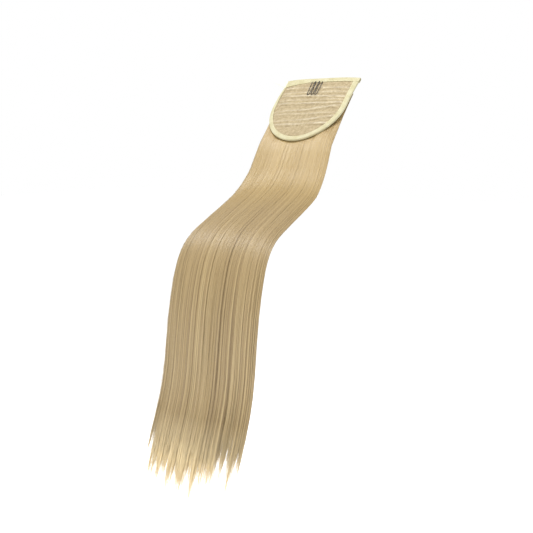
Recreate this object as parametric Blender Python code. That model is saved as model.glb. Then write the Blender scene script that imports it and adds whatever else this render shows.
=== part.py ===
"""A long ponytail hairpiece, in metres with +Z up.

A U-shaped net base carries bound edges, a wire comb and a corner tab on its inner side, and a fall
of straight hair on its outer side. The piece is draped: the base leans back, and the hair runs down
and forwards, crosses a low shelf, turns over its edge and hangs. X runs across the base. The inner
side of the base, and the side of the hair that continues it, face -Y. The origin lies on the inner
face of the net, on its centre line, behind the middle of the comb.

Every piece is laid out in the drape's own coordinates: x across, s along the drape from the top
edge of the net, and n out of the inner face of the net. world() turns them into the part's frame.
"""

import math

import bmesh
import bpy
import numpy as np
from mathutils import Vector

# Net base
BASE_WIDTH = 0.116
BASE_LENGTH = 0.115
BASE_LEG = 0.048
BASE_BULGE = 0.0012
BASE_LEAN = 0.0043
BASE_BOW = 0.0022
BASE_FLAT = 0.025
BASE_SLOPE = 48.0
NET_THICKNESS = 0.0012
RIB_HEIGHT = 0.0015
RIB_WIDTH = 0.0042

# Tapes that bind the edges of the net, and the tab at its corner
TAPE_THICKNESS = 0.0009
TAPE_WIDTH = 0.0062
TAPE_BACK_WIDTH = 0.0060
TOP_TAPE_WIDTH = 0.0065
TOP_TAPE_WIDE_END = 0.0125
TOP_TAPE_EVEN = 0.32
TAB_REACH = 0.0257
TAB_FLAT = 0.0032
TAB_LIFT = 0.0098
TAB_TUCK = 0.007
TAB_ROOT_WIDTH = 0.0125
TAB_TIP_WIDTH = 0.0020
TAB_THICKNESS = 0.0010

# Front width of the tape round the U, as shares of TAPE_WIDTH against the share of the way from the
# +X end to the -X end, where the edge of the net has rolled back
EDGE_TAPE_WIDTHS = (
    # way, width
    (0.00, 1.00),
    (0.25, 0.85),
    (0.60, 0.90),
    (0.72, 0.90),
    (0.80, 0.78),
    (0.90, 0.60),
    (1.00, 0.35),
)

# Wire comb
COMB_TEETH = 3
COMB_PITCH = 0.0061
COMB_TOOTH_LENGTH = 0.0235
COMB_OFFSET = -0.0055
COMB_LIFT = 0.0026
COMB_WIRE = 0.0010
COMB_LEG_GAP = 0.0005
COMB_SPINE_WIRE = 0.0012
COMB_SPINE_OVERHANG = 0.0012

# Hair
HAIR_LENGTH = 0.634
HAIR_WIDTH = 0.119
HAIR_LEAN = 0.0025
HAIR_THICKNESS = 0.017
HAIR_TOP_SETBACK = 0.0012
HAIR_FRONT_RISE = 0.004
HAIR_EDGE_POWER = 2.6
LOCK_VALLEY = 0.16
LOCK_SPLIT = 0.86

CLEARANCE = 0.0003

# The slope of the hair below the net, in degrees below level, against the share of that stretch
FALL_SLOPES = (
    # share, slope
    (0.00, 52.0),
    (0.03, 59.0),
    (0.06, 60.0),
    (0.10, 52.0),
    (0.14, 40.5),
    (0.18, 30.0),
    (0.22, 25.5),
    (0.27, 25.0),
    (0.31, 26.5),
    (0.35, 30.5),
    (0.39, 40.5),
    (0.43, 57.0),
    (0.47, 68.0),
    (0.53, 76.0),
    (0.59, 80.5),
    (0.67, 83.5),
    (0.73, 81.0),
    (0.78, 75.0),
    (0.83, 69.5),
    (0.92, 70.0),
    (1.00, 76.0),
)

# Sections of the hair. A station runs from -1 at the net's top edge, through 0 at its low point, to
# 1 at the tips. Width and thickness are shares of HAIR_WIDTH and HAIR_THICKNESS, and bow is the
# share of BASE_BOW by which the sides curve back.
HAIR_SECTIONS = (
    # station, width, thickness, bow
    (-1.00, 0.85, 0.20, 1.0),
    (-0.85, 0.96, 0.36, 1.0),
    (-0.50, 1.00, 0.55, 1.0),
    (-0.20, 1.01, 0.70, 1.0),
    (0.00, 1.02, 0.80, 1.0),
    (0.08, 1.06, 0.95, 1.0),
    (0.16, 1.11, 1.00, 1.0),
    (0.30, 1.14, 1.00, 1.0),
    (0.50, 1.17, 0.96, 0.9),
    (0.72, 1.19, 0.86, 0.8),
    (0.86, 1.22, 0.66, 0.6),
    (1.00, 1.20, 0.40, 0.4),
)

# Locks of the hair from -X to +X. Width is relative, reach is the station of the tip, and drift is
# how far the tip leaves its own line, as a share of HAIR_WIDTH.
LOCKS = (
    # width, reach, drift
    (7, 0.905, -0.005),
    (9, 0.978, -0.025),
    (7, 0.970, 0.000),
    (7, 0.962, 0.010),
    (9, 0.986, -0.005),
    (15, 1.000, -0.005),
    (11, 0.985, 0.000),
    (8, 0.970, 0.015),
    (9, 0.959, 0.010),
    (10, 0.927, 0.010),
    (10, 0.946, 0.000),
    (4, 0.912, 0.010),
)

# Ribs where rows of hair are sewn across the net. Place is a share of BASE_LENGTH, tilt is the rise
# of the +X end over the -X end as a share of BASE_LENGTH, and wave is the height of the rib's
# waviness as a share of RIB_WIDTH.
RIBS = (
    # place, tilt, wave
    (0.125, 0.005, 0.20),
    (0.225, 0.020, 0.30),
    (0.315, -0.035, 0.35),
    (0.420, 0.010, 0.25),
    (0.515, 0.075, 0.30),
    (0.610, 0.020, 0.25),
    (0.700, 0.065, 0.35),
    (0.785, 0.015, 0.20),
)

# How finely the shapes are divided
PATH_STEP = 0.001
HAIR_STATION_STEP = 0.014
LOCK_RINGS = (0.22, 0.45, 0.66, 0.84, 0.95)
NET_COLUMNS = 16
LEG_STEPS = 5
ROUND_STEPS = 26
TOP_TAPE_STEPS = 12
TOOTH_STEPS = 6
BEND_STEPS = 6
WIRE_SIDES_RESOLUTION = 1

# Places that follow from the sizes above
HALF_BASE = BASE_WIDTH / 2
FREE_LENGTH = HAIR_LENGTH - BASE_LENGTH
BOW_SPAN = HALF_BASE - BASE_FLAT
EDGE_WRAP = CLEARANCE + TAPE_THICKNESS
TAPE_FRONT = CLEARANCE + TAPE_THICKNESS
TAPE_BACK = -NET_THICKNESS - CLEARANCE - TAPE_THICKNESS
COMB_LEG_PITCH = COMB_WIRE + COMB_LEG_GAP
COMB_SPINE_S = TOP_TAPE_WIDTH + 2 * CLEARANCE + (COMB_LEG_PITCH + COMB_WIRE) / 2
COMB_SEAT = CLEARANCE + COMB_SPINE_WIRE / 2
ORIGIN_S = COMB_SPINE_S + COMB_TOOTH_LENGTH / 2

# sRGB colours
HAIR_COLOUR = "cfb588"
NET_COLOUR = "c9b78f"
TAPE_COLOUR = "efe9c4"
TAB_COLOUR = "f6f5e6"
WIRE_COLOUR = "3a2c2c"


def trace_drape():
    """Arc lengths, Y, Z and slopes along the drape, by adding up short steps."""
    shares, slopes = np.array(FALL_SLOPES).T
    s = np.arange(-TAPE_WIDTH, HAIR_LENGTH + 2 * PATH_STEP, PATH_STEP)
    share = np.clip((s - BASE_LENGTH) / FREE_LENGTH, 0, 1)
    slope = np.where(s < BASE_LENGTH, BASE_SLOPE, np.interp(share, shares, slopes))
    slope = np.radians(slope)
    middle = (slope[1:] + slope[:-1]) / 2
    y = np.concatenate([[0], np.cumsum(-np.cos(middle) * PATH_STEP)])
    z = np.concatenate([[0], np.cumsum(-np.sin(middle) * PATH_STEP)])
    y -= np.interp(ORIGIN_S, s, y)
    z -= np.interp(ORIGIN_S, s, z)
    return s, y, z, slope


DRAPE = trace_drape()


def world(x, s, n):
    """The point in the part's frame of a place in the drape's coordinates."""
    along, y, z, slope = DRAPE
    at = float(np.interp(s, along, slope))
    low = float(np.interp(s, along, y))
    high = float(np.interp(s, along, z))
    return Vector((x, low - n * math.sin(at), high + n * math.cos(at)))


def bow(x):
    """How far the base curves back at x: nothing over the flat middle, then ever more."""
    beyond = abs(x) - BASE_FLAT
    if beyond <= 0:
        return 0.0
    if abs(x) <= HALF_BASE:
        return BASE_BOW * (beyond / BOW_SPAN) ** 2
    return BASE_BOW + 2 * BASE_BOW / BOW_SPAN * (abs(x) - HALF_BASE)


def on_base(x, s, n):
    """A place on the bowed base."""
    return world(x, s, n - bow(x))


def linear(code):
    """A colour in Blender's linear values from an sRGB hex code."""
    values = [int(code[i : i + 2], 16) / 255 for i in (0, 2, 4)]
    return [v / 12.92 if v <= 0.04045 else ((v + 0.055) / 1.055) ** 2.4 for v in values]


def make_material(name, code, roughness, metallic=0.0):
    material = bpy.data.materials.new(name)
    material.use_nodes = True
    shader = material.node_tree.nodes["Principled BSDF"]
    shader.inputs["Base Color"].default_value = (*linear(code), 1)
    shader.inputs["Roughness"].default_value = roughness
    shader.inputs["Metallic"].default_value = metallic
    return material


def make_object(name, points, faces, material):
    """A closed mesh object with its faces pointing out."""
    mesh = bpy.data.meshes.new(name)
    mesh.from_pydata([tuple(p) for p in points], [], faces)
    bm = bmesh.new()
    bm.from_mesh(mesh)
    bmesh.ops.recalc_face_normals(bm, faces=bm.faces)
    bm.to_mesh(mesh)
    bm.free()
    mesh.shade_smooth()
    mesh.set_sharp_from_angle(angle=math.radians(40))
    mesh.materials.append(material)
    thing = bpy.data.objects.new(name, mesh)
    bpy.context.scene.collection.objects.link(thing)
    return thing


def skin_rings(rings):
    """Points and faces of a solid whose surface runs through rings of equally many points."""
    count = len(rings[0])
    points = [p for ring in rings for p in ring]
    faces = [tuple(range(count)), tuple(len(points) - 1 - k for k in range(count))]
    for i in range(len(rings) - 1):
        first = i * count
        for k in range(count):
            after = (k + 1) % count
            faces.append((first + k, first + after, first + count + after, first + count + k))
    return points, faces


# Net base
def half_width(s):
    """Half the net's width at s: legs that widen a little, then half an ellipse."""
    if s <= BASE_LEG:
        return HALF_BASE + BASE_BULGE * math.sin(math.pi / 2 * s / BASE_LEG)
    down = min((s - BASE_LEG) / (BASE_LENGTH - BASE_LEG), 1)
    return (HALF_BASE + BASE_BULGE) * math.sqrt(1 - down * down)


def lean(s, amount=BASE_LEAN):
    """How far the middle of the base, or of the hair, has shifted towards -X at s."""
    return -amount * math.sin(math.pi / 2 * min(max(s / BASE_LEG, 0), 1))


def rib_fade(x, s, outline):
    """1 over the open net, and 0 under the tapes, where the ribs are pressed flat."""
    inside = min(math.hypot(x - edge_x, s - edge_s) for edge_x, edge_s, _ in outline)
    under_tape = TAPE_WIDTH + 4 * CLEARANCE
    return min(max((min(inside, s) - under_tape) / under_tape, 0), 1)


def net_rows():
    """Rows of the net from its top edge to its foot, as (place, tilt, wave, height)."""
    rows = [(0, 0, 0, 0), (TOP_TAPE_WIDTH, 0, 0, 0)]
    for place, tilt, wave in RIBS:
        for side, height in ((-0.5, 0), (-0.15, 0.9), (0.15, 0.9), (0.5, 0)):
            rows.append((place * BASE_LENGTH + side * RIB_WIDTH, tilt, wave, height))
    last_rib = RIBS[-1][0] * BASE_LENGTH
    foot = BASE_LENGTH - 2 * CLEARANCE
    for share in (0.3, 0.55, 0.75, 0.9, 1.0):
        rows.append((last_rib + (foot - last_rib) * share, 0, 0, 0))
    return rows


def make_net(material):
    """The net: a cloth wall whose inner face rises in a rib over each sewn row."""
    outline = edge_outline()
    front, back = [], []
    for place, tilt, wave, height in net_rows():
        for column in range(NET_COLUMNS + 1):
            t = 2 * column / NET_COLUMNS - 1
            slant = -tilt * BASE_LENGTH * t / 2
            ripple = wave * RIB_WIDTH * math.sin(5 * t + 40 * place / BASE_LENGTH)
            s = place + slant + ripple
            x = lean(s) + t * half_width(s)
            rise = RIB_HEIGHT * height * rib_fade(x, s, outline)
            front.append(on_base(x, s, rise))
            back.append(on_base(x, s, -NET_THICKNESS))
    wide = NET_COLUMNS + 1
    rows = len(front) // wide
    behind = len(front)
    faces = []
    for row in range(rows - 1):
        for column in range(NET_COLUMNS):
            a = row * wide + column
            faces.append((a, a + 1, a + wide + 1, a + wide))
            faces.append((behind + a, behind + a + wide, behind + a + wide + 1, behind + a + 1))
    rim = [k for k in range(wide)]
    rim += [row * wide + wide - 1 for row in range(1, rows)]
    rim += [(rows - 1) * wide + k for k in range(wide - 2, -1, -1)]
    rim += [row * wide for row in range(rows - 2, 0, -1)]
    for i, a in enumerate(rim):
        b = rim[(i + 1) % len(rim)]
        faces.append((a, b, behind + b, behind + a))
    return make_object("cap_net", front + back, faces, material)


# Bindings
def folded_section(front_width, back_width):
    """A tape folded over an edge, as (distance inwards from the edge, n) round the fold."""
    crease = TAPE_THICKNESS * 0.8
    inner_front = CLEARANCE
    inner_back = -NET_THICKNESS - CLEARANCE
    return (
        (front_width, TAPE_FRONT),
        (-EDGE_WRAP + crease, TAPE_FRONT),
        (-EDGE_WRAP, TAPE_FRONT - crease),
        (-EDGE_WRAP, TAPE_BACK + crease),
        (-EDGE_WRAP + crease, TAPE_BACK),
        (back_width, TAPE_BACK),
        (back_width, inner_back),
        (-CLEARANCE, inner_back),
        (-CLEARANCE, inner_front),
        (front_width, inner_front),
    )


def edge_outline():
    """Points (x, s) round the U of the net, from its +X leg to its -X leg, with the way inwards."""
    right_start = TOP_TAPE_WIDTH + CLEARANCE
    left_start = TOP_TAPE_WIDE_END + CLEARANCE
    places = []
    for step in range(LEG_STEPS):
        s = right_start + (BASE_LEG - right_start) * step / LEG_STEPS
        places.append((half_width(s), s))
    for step in range(ROUND_STEPS + 1):
        turn = math.pi * step / ROUND_STEPS
        x = (HALF_BASE + BASE_BULGE) * math.cos(turn)
        places.append((x, BASE_LEG + (BASE_LENGTH - BASE_LEG) * math.sin(turn)))
    for step in range(LEG_STEPS - 1, -1, -1):
        s = left_start + (BASE_LEG - left_start) * step / LEG_STEPS
        places.append((-half_width(s), s))
    places = [(x + lean(s), s) for x, s in places]
    outline = []
    for i, (x, s) in enumerate(places):
        before = places[max(i - 1, 0)]
        after = places[min(i + 1, len(places) - 1)]
        run_x, run_s = after[0] - before[0], after[1] - before[1]
        length = math.hypot(run_x, run_s)
        inwards = (-run_s / length, run_x / length)
        if i in (0, len(places) - 1):
            inwards = (math.copysign(1, -x), 0)
        outline.append((x, s, inwards))
    return outline


def make_edge_binding(material):
    """The tape folded round the U."""
    ways, widths = np.array(EDGE_TAPE_WIDTHS).T
    outline = edge_outline()
    rings = []
    for i, (x, s, (in_x, in_s)) in enumerate(outline):
        width = TAPE_WIDTH * float(np.interp(i / (len(outline) - 1), ways, widths))
        section = folded_section(width, TAPE_BACK_WIDTH)
        rings.append([on_base(x + d * in_x, s + d * in_s, n) for d, n in section])
    points, faces = skin_rings(rings)
    return make_object("edge_binding", points, faces, material)


def make_top_binding(material):
    """The tape folded over the straight edge, which widens towards -X."""
    rings = []
    outer = HALF_BASE + EDGE_WRAP
    for step in range(TOP_TAPE_STEPS + 1):
        t = 1 - 2 * step / TOP_TAPE_STEPS
        widening = min(max(-t - TOP_TAPE_EVEN, 0) / (1 - TOP_TAPE_EVEN), 1)
        width = TOP_TAPE_WIDTH + (TOP_TAPE_WIDE_END - TOP_TAPE_WIDTH) * widening
        section = folded_section(width, TOP_TAPE_WIDTH)
        rings.append([on_base(t * outer, d, n) for d, n in section])
    points, faces = skin_rings(rings)
    return make_object("top_binding", points, faces, material)


def make_corner_tab(material):
    """The pale tab that is sewn behind the -X corner, rises a little and ends in a blunt point."""
    front = TAPE_BACK - CLEARANCE
    root_x = -HALF_BASE - EDGE_WRAP
    rings = []
    for reach in (-TAB_TUCK, -TAB_TUCK / 2, 0, TAB_FLAT, (TAB_FLAT + TAB_REACH) / 2, TAB_REACH):
        taper = max(reach, 0) / TAB_REACH
        width = TAB_ROOT_WIDTH + (TAB_TIP_WIDTH - TAB_ROOT_WIDTH) * taper
        face = front + TAB_LIFT * max(reach - TAB_FLAT, 0) / (TAB_REACH - TAB_FLAT)
        top = -EDGE_WRAP
        corners = ((top, 0), (top + width, 0), (top + width, -1), (top, -1))
        ring = [on_base(root_x - reach, s, face + TAB_THICKNESS * side) for s, side in corners]
        rings.append(ring)
    points, faces = skin_rings(rings)
    return make_object("corner_tab", points, faces, material)


# Comb
def tooth_height(share):
    """n of the wire's centre at a share of the tooth's length: it rises, then runs level."""
    rise = min(share / 0.3, 1)
    return COMB_SEAT + COMB_LIFT * (1 - math.cos(math.pi * rise)) / 2


def comb_route():
    """Points (x, s, n) of one wire bent into U-shaped teeth that hang from tight bends."""
    bend = (COMB_PITCH - COMB_LEG_PITCH) / 2
    straight = COMB_TOOTH_LENGTH - bend
    start = COMB_OFFSET - COMB_TEETH * COMB_PITCH / 2
    route = []
    for tooth in range(COMB_TEETH):
        left = start + tooth * COMB_PITCH + COMB_LEG_PITCH / 2
        middle = left + bend
        for step in range(TOOTH_STEPS + 1):
            run = straight * step / TOOTH_STEPS
            route.append((left, COMB_SPINE_S + run, tooth_height(run / COMB_TOOTH_LENGTH)))
        for step in range(1, BEND_STEPS):
            turn = math.pi * step / BEND_STEPS
            down = COMB_SPINE_S + straight + bend * math.sin(turn)
            route.append((middle - bend * math.cos(turn), down, tooth_height(1)))
        for step in range(TOOTH_STEPS, -1, -1):
            run = straight * step / TOOTH_STEPS
            place = (left + 2 * bend, COMB_SPINE_S + run, tooth_height(run / COMB_TOOTH_LENGTH))
            route.append(place)
        if tooth < COMB_TEETH - 1:
            top = COMB_SPINE_S - COMB_LEG_PITCH / 2
            route.append((left + 2 * bend + COMB_LEG_PITCH / 2, top, COMB_SEAT))
    return route


def make_tube(name, route, diameter, material):
    """A round wire along points (x, s, n) of the base."""
    curve = bpy.data.curves.new(name, "CURVE")
    curve.dimensions = "3D"
    curve.bevel_depth = diameter / 2
    curve.bevel_resolution = WIRE_SIDES_RESOLUTION
    curve.use_fill_caps = True
    spline = curve.splines.new("POLY")
    spline.points.add(len(route) - 1)
    for point, place in zip(spline.points, route):
        point.co = (*on_base(*place), 1)
    curve.materials.append(material)
    thing = bpy.data.objects.new(name, curve)
    bpy.context.scene.collection.objects.link(thing)
    return thing


def make_comb(material):
    """The comb: a bent wire fused to the spine that its tight bends hang on."""
    wire = make_tube("comb_wire_curve", comb_route(), COMB_WIRE, material)
    reach = COMB_TEETH * COMB_PITCH / 2 + COMB_SPINE_OVERHANG
    ends = (COMB_OFFSET - reach, COMB_OFFSET + reach)
    spine_route = [(x, COMB_SPINE_S, COMB_SEAT) for x in ends]
    spine = make_tube("comb_spine_curve", spine_route, COMB_SPINE_WIRE, material)
    bpy.context.view_layer.update()
    graph = bpy.context.evaluated_depsgraph_get()
    solids = []
    for curve_object, name in ((wire, "comb"), (spine, "comb_spine_cutter")):
        mesh = bpy.data.meshes.new_from_object(curve_object.evaluated_get(graph))
        bm = bmesh.new()
        bm.from_mesh(mesh)
        bmesh.ops.remove_doubles(bm, verts=bm.verts, dist=1e-6)
        bmesh.ops.recalc_face_normals(bm, faces=bm.faces)
        bm.to_mesh(mesh)
        bm.free()
        thing = bpy.data.objects.new(name, mesh)
        bpy.context.scene.collection.objects.link(thing)
        solids.append(thing)
    for curve_object in (wire, spine):
        bpy.data.objects.remove(curve_object)
    comb, bar = solids
    bar.hide_render = True
    bar.display_type = "WIRE"
    union = comb.modifiers.new("spine", "BOOLEAN")
    union.operation = "UNION"
    union.object = bar
    return comb


# Hair
def station_length(station):
    """s of a station of the hair."""
    if station < 0:
        return BASE_LENGTH * (1 + station)
    return BASE_LENGTH + FREE_LENGTH * station


def hair_section(station):
    """Half width, thickness, bow share and n of the front of the hair at a station."""
    stations, widths, thicknesses, bows = np.array(HAIR_SECTIONS).T
    half = float(np.interp(station, stations, widths)) * HAIR_WIDTH / 2
    thickness = float(np.interp(station, stations, thicknesses)) * HAIR_THICKNESS
    bowed = float(np.interp(station, stations, bows))
    rise = min(max(station / 0.15, 0), 1)
    front = TAPE_BACK - CLEARANCE + HAIR_FRONT_RISE * rise * rise * (3 - 2 * rise)
    return half, thickness, bowed, front


def lock_edges():
    """Edges of the locks across the hair, from -1 to 1."""
    widths = np.array([width for width, _, _ in LOCKS], float)
    return np.concatenate([[-1], 2 * np.cumsum(widths) / widths.sum() - 1])


def hair_point(t, station, side, slim=(1, 1), pivot=0, drift=0):
    """A point of the hair's skin. t runs from -1 to 1 across, and side is 1 in front and -1 behind.

    slim narrows a lock about its own middle, pivot, and thins it, and drift moves it sideways.
    """
    half, thickness, bowed, front = hair_section(station)
    edge = math.sqrt(max(1 - abs(t) ** HAIR_EDGE_POWER, 0))
    s = station_length(station)
    x = half * (pivot + (t - pivot) * slim[0]) + drift * HAIR_WIDTH
    n = front - thickness / 2 + side * thickness / 2 * edge * slim[1] - bowed * bow(x)
    return world(x + lean(s, HAIR_LEAN), s, n)


def ring_stations():
    """The hair's stations from its top to where the locks part, evenly spaced in length."""
    top = HAIR_TOP_SETBACK / BASE_LENGTH - 1
    start = station_length(top)
    end = station_length(LOCK_SPLIT)
    count = max(round((end - start) / HAIR_STATION_STEP), 8)
    lengths = np.linspace(start, end, count + 1)
    return [s / BASE_LENGTH - 1 if s < BASE_LENGTH else (s - BASE_LENGTH) / FREE_LENGTH for s in lengths]


def make_hair(material):
    """The fall of hair: one body ridged into locks, which part near the end and run out in points."""
    edges = lock_edges()
    middles = (edges[:-1] + edges[1:]) / 2
    across = np.sort(np.concatenate([edges, middles]))
    last = len(across) - 1
    points, faces = [], []

    def add(point):
        points.append(point)
        return len(points) - 1

    def valley(k, station):
        """How much a point stands in: the edges of the locks are creases that deepen downwards."""
        return 1 - LOCK_VALLEY * min(max(station + 1, 0), 1) if k % 2 == 0 else 1

    rings = []
    for station in ring_stations():
        front, back = {}, {}
        for k, t in enumerate(across):
            slim = (1, valley(k, station))
            front[k] = add(hair_point(t, station, 1, slim))
            back[k] = front[k] if k in (0, last) else add(hair_point(t, station, -1, slim))
        rings.append((front, back))
    for (front, back), (next_front, next_back) in zip(rings, rings[1:]):
        for k in range(last):
            faces.append((front[k], front[k + 1], next_front[k + 1], next_front[k]))
            faces.append((back[k], next_back[k], next_back[k + 1], back[k + 1]))
    front, back = rings[0]
    for k in range(last):
        corners = (front[k], back[k], back[k + 1], front[k + 1])
        faces.append(tuple(dict.fromkeys(corners)))

    front, back = rings[-1]
    for i, (_, reach, drift) in enumerate(LOCKS):
        ks = (2 * i, 2 * i + 1, 2 * i + 2)
        around = [(k, 1) for k in ks] + [(k, -1) for k in reversed(ks) if k not in (0, last)]
        ring = [front[k] if side > 0 else back[k] for k, side in around]
        for share in LOCK_RINGS:
            station = LOCK_SPLIT + (reach - LOCK_SPLIT) * share
            narrow = 1 - share**3
            next_ring = []
            for k, side in around:
                slim = (narrow, valley(k, station) * (1 - 0.7 * share**3))
                place = (across[k], station, side, slim, middles[i], drift * share**3)
                next_ring.append(add(hair_point(*place)))
            for j in range(len(ring)):
                after = (j + 1) % len(ring)
                faces.append((ring[j], ring[after], next_ring[after], next_ring[j]))
            ring = next_ring
        half, thickness, bowed, face = hair_section(reach)
        x = half * middles[i] + drift * HAIR_WIDTH
        n = face - thickness / 2 - bowed * bow(x)
        s = station_length(reach)
        tip = add(world(x + lean(s, HAIR_LEAN), s, n))
        for j in range(len(ring)):
            faces.append((ring[j], ring[(j + 1) % len(ring)], tip))
    return make_object("hair_fall", points, faces, material)


def main():
    for thing in list(bpy.data.objects):
        bpy.data.objects.remove(thing)
    hair = make_material("hair_fibre", HAIR_COLOUR, 0.42)
    net = make_material("net_cloth", NET_COLOUR, 0.85)
    tape = make_material("binding_tape", TAPE_COLOUR, 0.80)
    tab = make_material("tab_tape", TAB_COLOUR, 0.70)
    wire = make_material("coated_wire", WIRE_COLOUR, 0.35, metallic=0.6)
    make_net(net)
    make_edge_binding(tape)
    make_top_binding(tape)
    make_corner_tab(tab)
    make_comb(wire)
    make_hair(hair)


main()
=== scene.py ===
"""Dresses the frame of a long ponytail hairpiece, laid out as an add-on and run as a script.

Every piece is laid out in the drape's own coordinates: x across the piece, s along the drape from
the net's top edge, and n out of the net's inner face. world() turns them into the frame's metres.
Hair, threads, wire and stitches are swept or set out by two Geometry Nodes trees and kept as plain
meshes.
"""

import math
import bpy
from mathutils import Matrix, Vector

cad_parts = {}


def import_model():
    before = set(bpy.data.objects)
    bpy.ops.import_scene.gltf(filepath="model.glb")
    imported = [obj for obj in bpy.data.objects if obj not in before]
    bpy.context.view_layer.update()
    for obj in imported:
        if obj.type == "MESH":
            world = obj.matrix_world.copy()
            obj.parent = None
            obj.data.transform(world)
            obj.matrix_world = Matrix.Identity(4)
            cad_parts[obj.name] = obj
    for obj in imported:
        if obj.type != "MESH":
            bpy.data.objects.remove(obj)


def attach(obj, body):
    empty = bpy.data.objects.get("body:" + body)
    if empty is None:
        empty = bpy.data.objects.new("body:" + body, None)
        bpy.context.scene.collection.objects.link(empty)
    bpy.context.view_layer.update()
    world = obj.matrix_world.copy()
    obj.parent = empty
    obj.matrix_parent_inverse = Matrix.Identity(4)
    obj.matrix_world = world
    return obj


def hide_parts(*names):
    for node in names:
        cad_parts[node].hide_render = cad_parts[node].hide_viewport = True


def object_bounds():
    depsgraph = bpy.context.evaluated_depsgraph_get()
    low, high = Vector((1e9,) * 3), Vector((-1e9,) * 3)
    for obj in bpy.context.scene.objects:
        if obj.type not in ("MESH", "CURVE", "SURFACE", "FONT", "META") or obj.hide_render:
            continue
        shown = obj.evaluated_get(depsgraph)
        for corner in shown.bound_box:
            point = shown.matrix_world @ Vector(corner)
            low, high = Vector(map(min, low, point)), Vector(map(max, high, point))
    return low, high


bl_info = {
    "name": "Ponytail hairpiece",
    "version": (1, 0, 0),
    "blender": (4, 5, 0),
    "location": "3D View > Sidebar > Hairpiece",
    "description": "Dresses the frame of a long straight hairpiece on a net base",
    "category": "Object",
}

import bpy
import numpy as np
from bpy.props import FloatProperty, FloatVectorProperty, IntProperty, PointerProperty
from mathutils import Vector

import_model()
CAD_BOX = [list(corner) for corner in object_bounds()]

# Sizes in metres, the same as the solids have
BASE_WIDTH = 0.116
BASE_LENGTH = 0.115
BASE_LEG = 0.048
BASE_BULGE = 0.0012
BASE_LEAN = 0.0043
BASE_BOW = 0.0022
BASE_FLAT = 0.025
BASE_SLOPE = 48.0
NET_THICKNESS = 0.0012
TAPE_THICKNESS = 0.0009
TAPE_WIDTH = 0.0062
TAPE_BACK_WIDTH = 0.0060
TOP_TAPE_WIDTH = 0.0065
TOP_TAPE_WIDE_END = 0.0125
TOP_TAPE_EVEN = 0.32
TAB_REACH = 0.0257
TAB_FLAT = 0.0032
TAB_LIFT = 0.0098
TAB_TUCK = 0.007
TAB_ROOT_WIDTH = 0.0125
TAB_TIP_WIDTH = 0.0020
TAB_THICKNESS = 0.0010
COMB_TEETH = 3
COMB_PITCH = 0.0061
COMB_TOOTH_LENGTH = 0.0235
COMB_OFFSET = -0.0055
COMB_LEG_GAP = 0.0005
COMB_SPINE_S = 0.00835
HAIR_LENGTH = 0.634
HAIR_WIDTH = 0.119
HAIR_LEAN = 0.0025
HAIR_THICKNESS = 0.017
HAIR_FRONT_RISE = 0.004
HAIR_EDGE_POWER = 2.6
LOCK_SPLIT = 0.86
CLEARANCE = 0.0003
PATH_STEP = 0.001

# The scene's own sizes in metres: the comb's wire, how high its teeth lie and how far its top bends
# lap over the tape, the spine's share of the wire's width, how far the hair rises beyond the U's
# tape and how full its edges are over the base
COMB_WIRE = 0.0009
COMB_REST = 0.0019
COMB_TOP = 0.0016
COMB_SPINE_SHARE = 0.7
HAIR_PUFF = 0.0022
HAIR_BASE_POWER = 6.0

# The scene's own small threads and hairs, in metres
NET_SHARE = 0.75
WEFT_STITCH_PITCH = 0.0026
WEFT_STITCH_LENGTH = 0.0017
WEFT_STITCH_WIDTH = 0.0004
LASHING_WIDTH = 0.0004
LASHING_TURNS = 3
LASHING_PITCH = 0.0009
FLYAWAY_WIDTH = 0.00016
FLYAWAY_STEPS = 14
STRAND_STRAY = 0.0002
STRAND_STRAY_SIZE = 8.0
BED_DEPTH = 0.0016

HALF_BASE = BASE_WIDTH / 2
FREE_LENGTH = HAIR_LENGTH - BASE_LENGTH
BOW_SPAN = HALF_BASE - BASE_FLAT
EDGE_WRAP = CLEARANCE + TAPE_THICKNESS
TAPE_FRONT = CLEARANCE + TAPE_THICKNESS
TAPE_BACK = -NET_THICKNESS - CLEARANCE - TAPE_THICKNESS
COMB_LEG_PITCH = COMB_WIRE + COMB_LEG_GAP
ORIGIN_S = COMB_SPINE_S + COMB_TOOTH_LENGTH / 2

# The slope of the hair below the net, in degrees below level, against the share of that stretch
FALL_SLOPES = (
    (0.00, 52.0), (0.03, 59.0), (0.06, 60.0), (0.10, 52.0), (0.14, 40.5), (0.18, 30.0),
    (0.22, 25.5), (0.27, 25.0), (0.31, 26.5), (0.35, 30.5), (0.39, 40.5), (0.43, 57.0),
    (0.47, 68.0), (0.53, 76.0), (0.59, 80.5), (0.67, 83.5), (0.73, 81.0), (0.78, 75.0),
    (0.83, 69.5), (0.92, 70.0), (1.00, 76.0),
)

# Sections of the hair: station, then shares of HAIR_WIDTH, HAIR_THICKNESS and BASE_BOW, and the
# section's shift towards +X in metres
HAIR_SECTIONS = (
    (-1.00, 0.850, 0.20, 1.0, -0.0012),
    (-0.85, 0.960, 0.36, 1.0, -0.0012),
    (-0.50, 0.975, 0.55, 1.0, -0.0026),
    (-0.20, 0.975, 0.70, 1.0, -0.0034),
    (0.00, 0.985, 0.80, 1.0, -0.0022),
    (0.08, 1.020, 0.95, 1.0, 0.0000),
    (0.16, 1.095, 1.00, 1.0, 0.0005),
    (0.28, 1.110, 1.00, 1.0, -0.0014),
    (0.35, 1.115, 0.98, 1.0, -0.0026),
    (0.42, 1.130, 0.97, 1.0, -0.0006),
    (0.50, 1.145, 0.96, 0.9, 0.0008),
    (0.72, 1.165, 0.86, 0.8, 0.0014),
    (0.86, 1.195, 0.66, 0.6, 0.0008),
    (1.00, 1.200, 0.40, 0.4, 0.0000),
)

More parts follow.
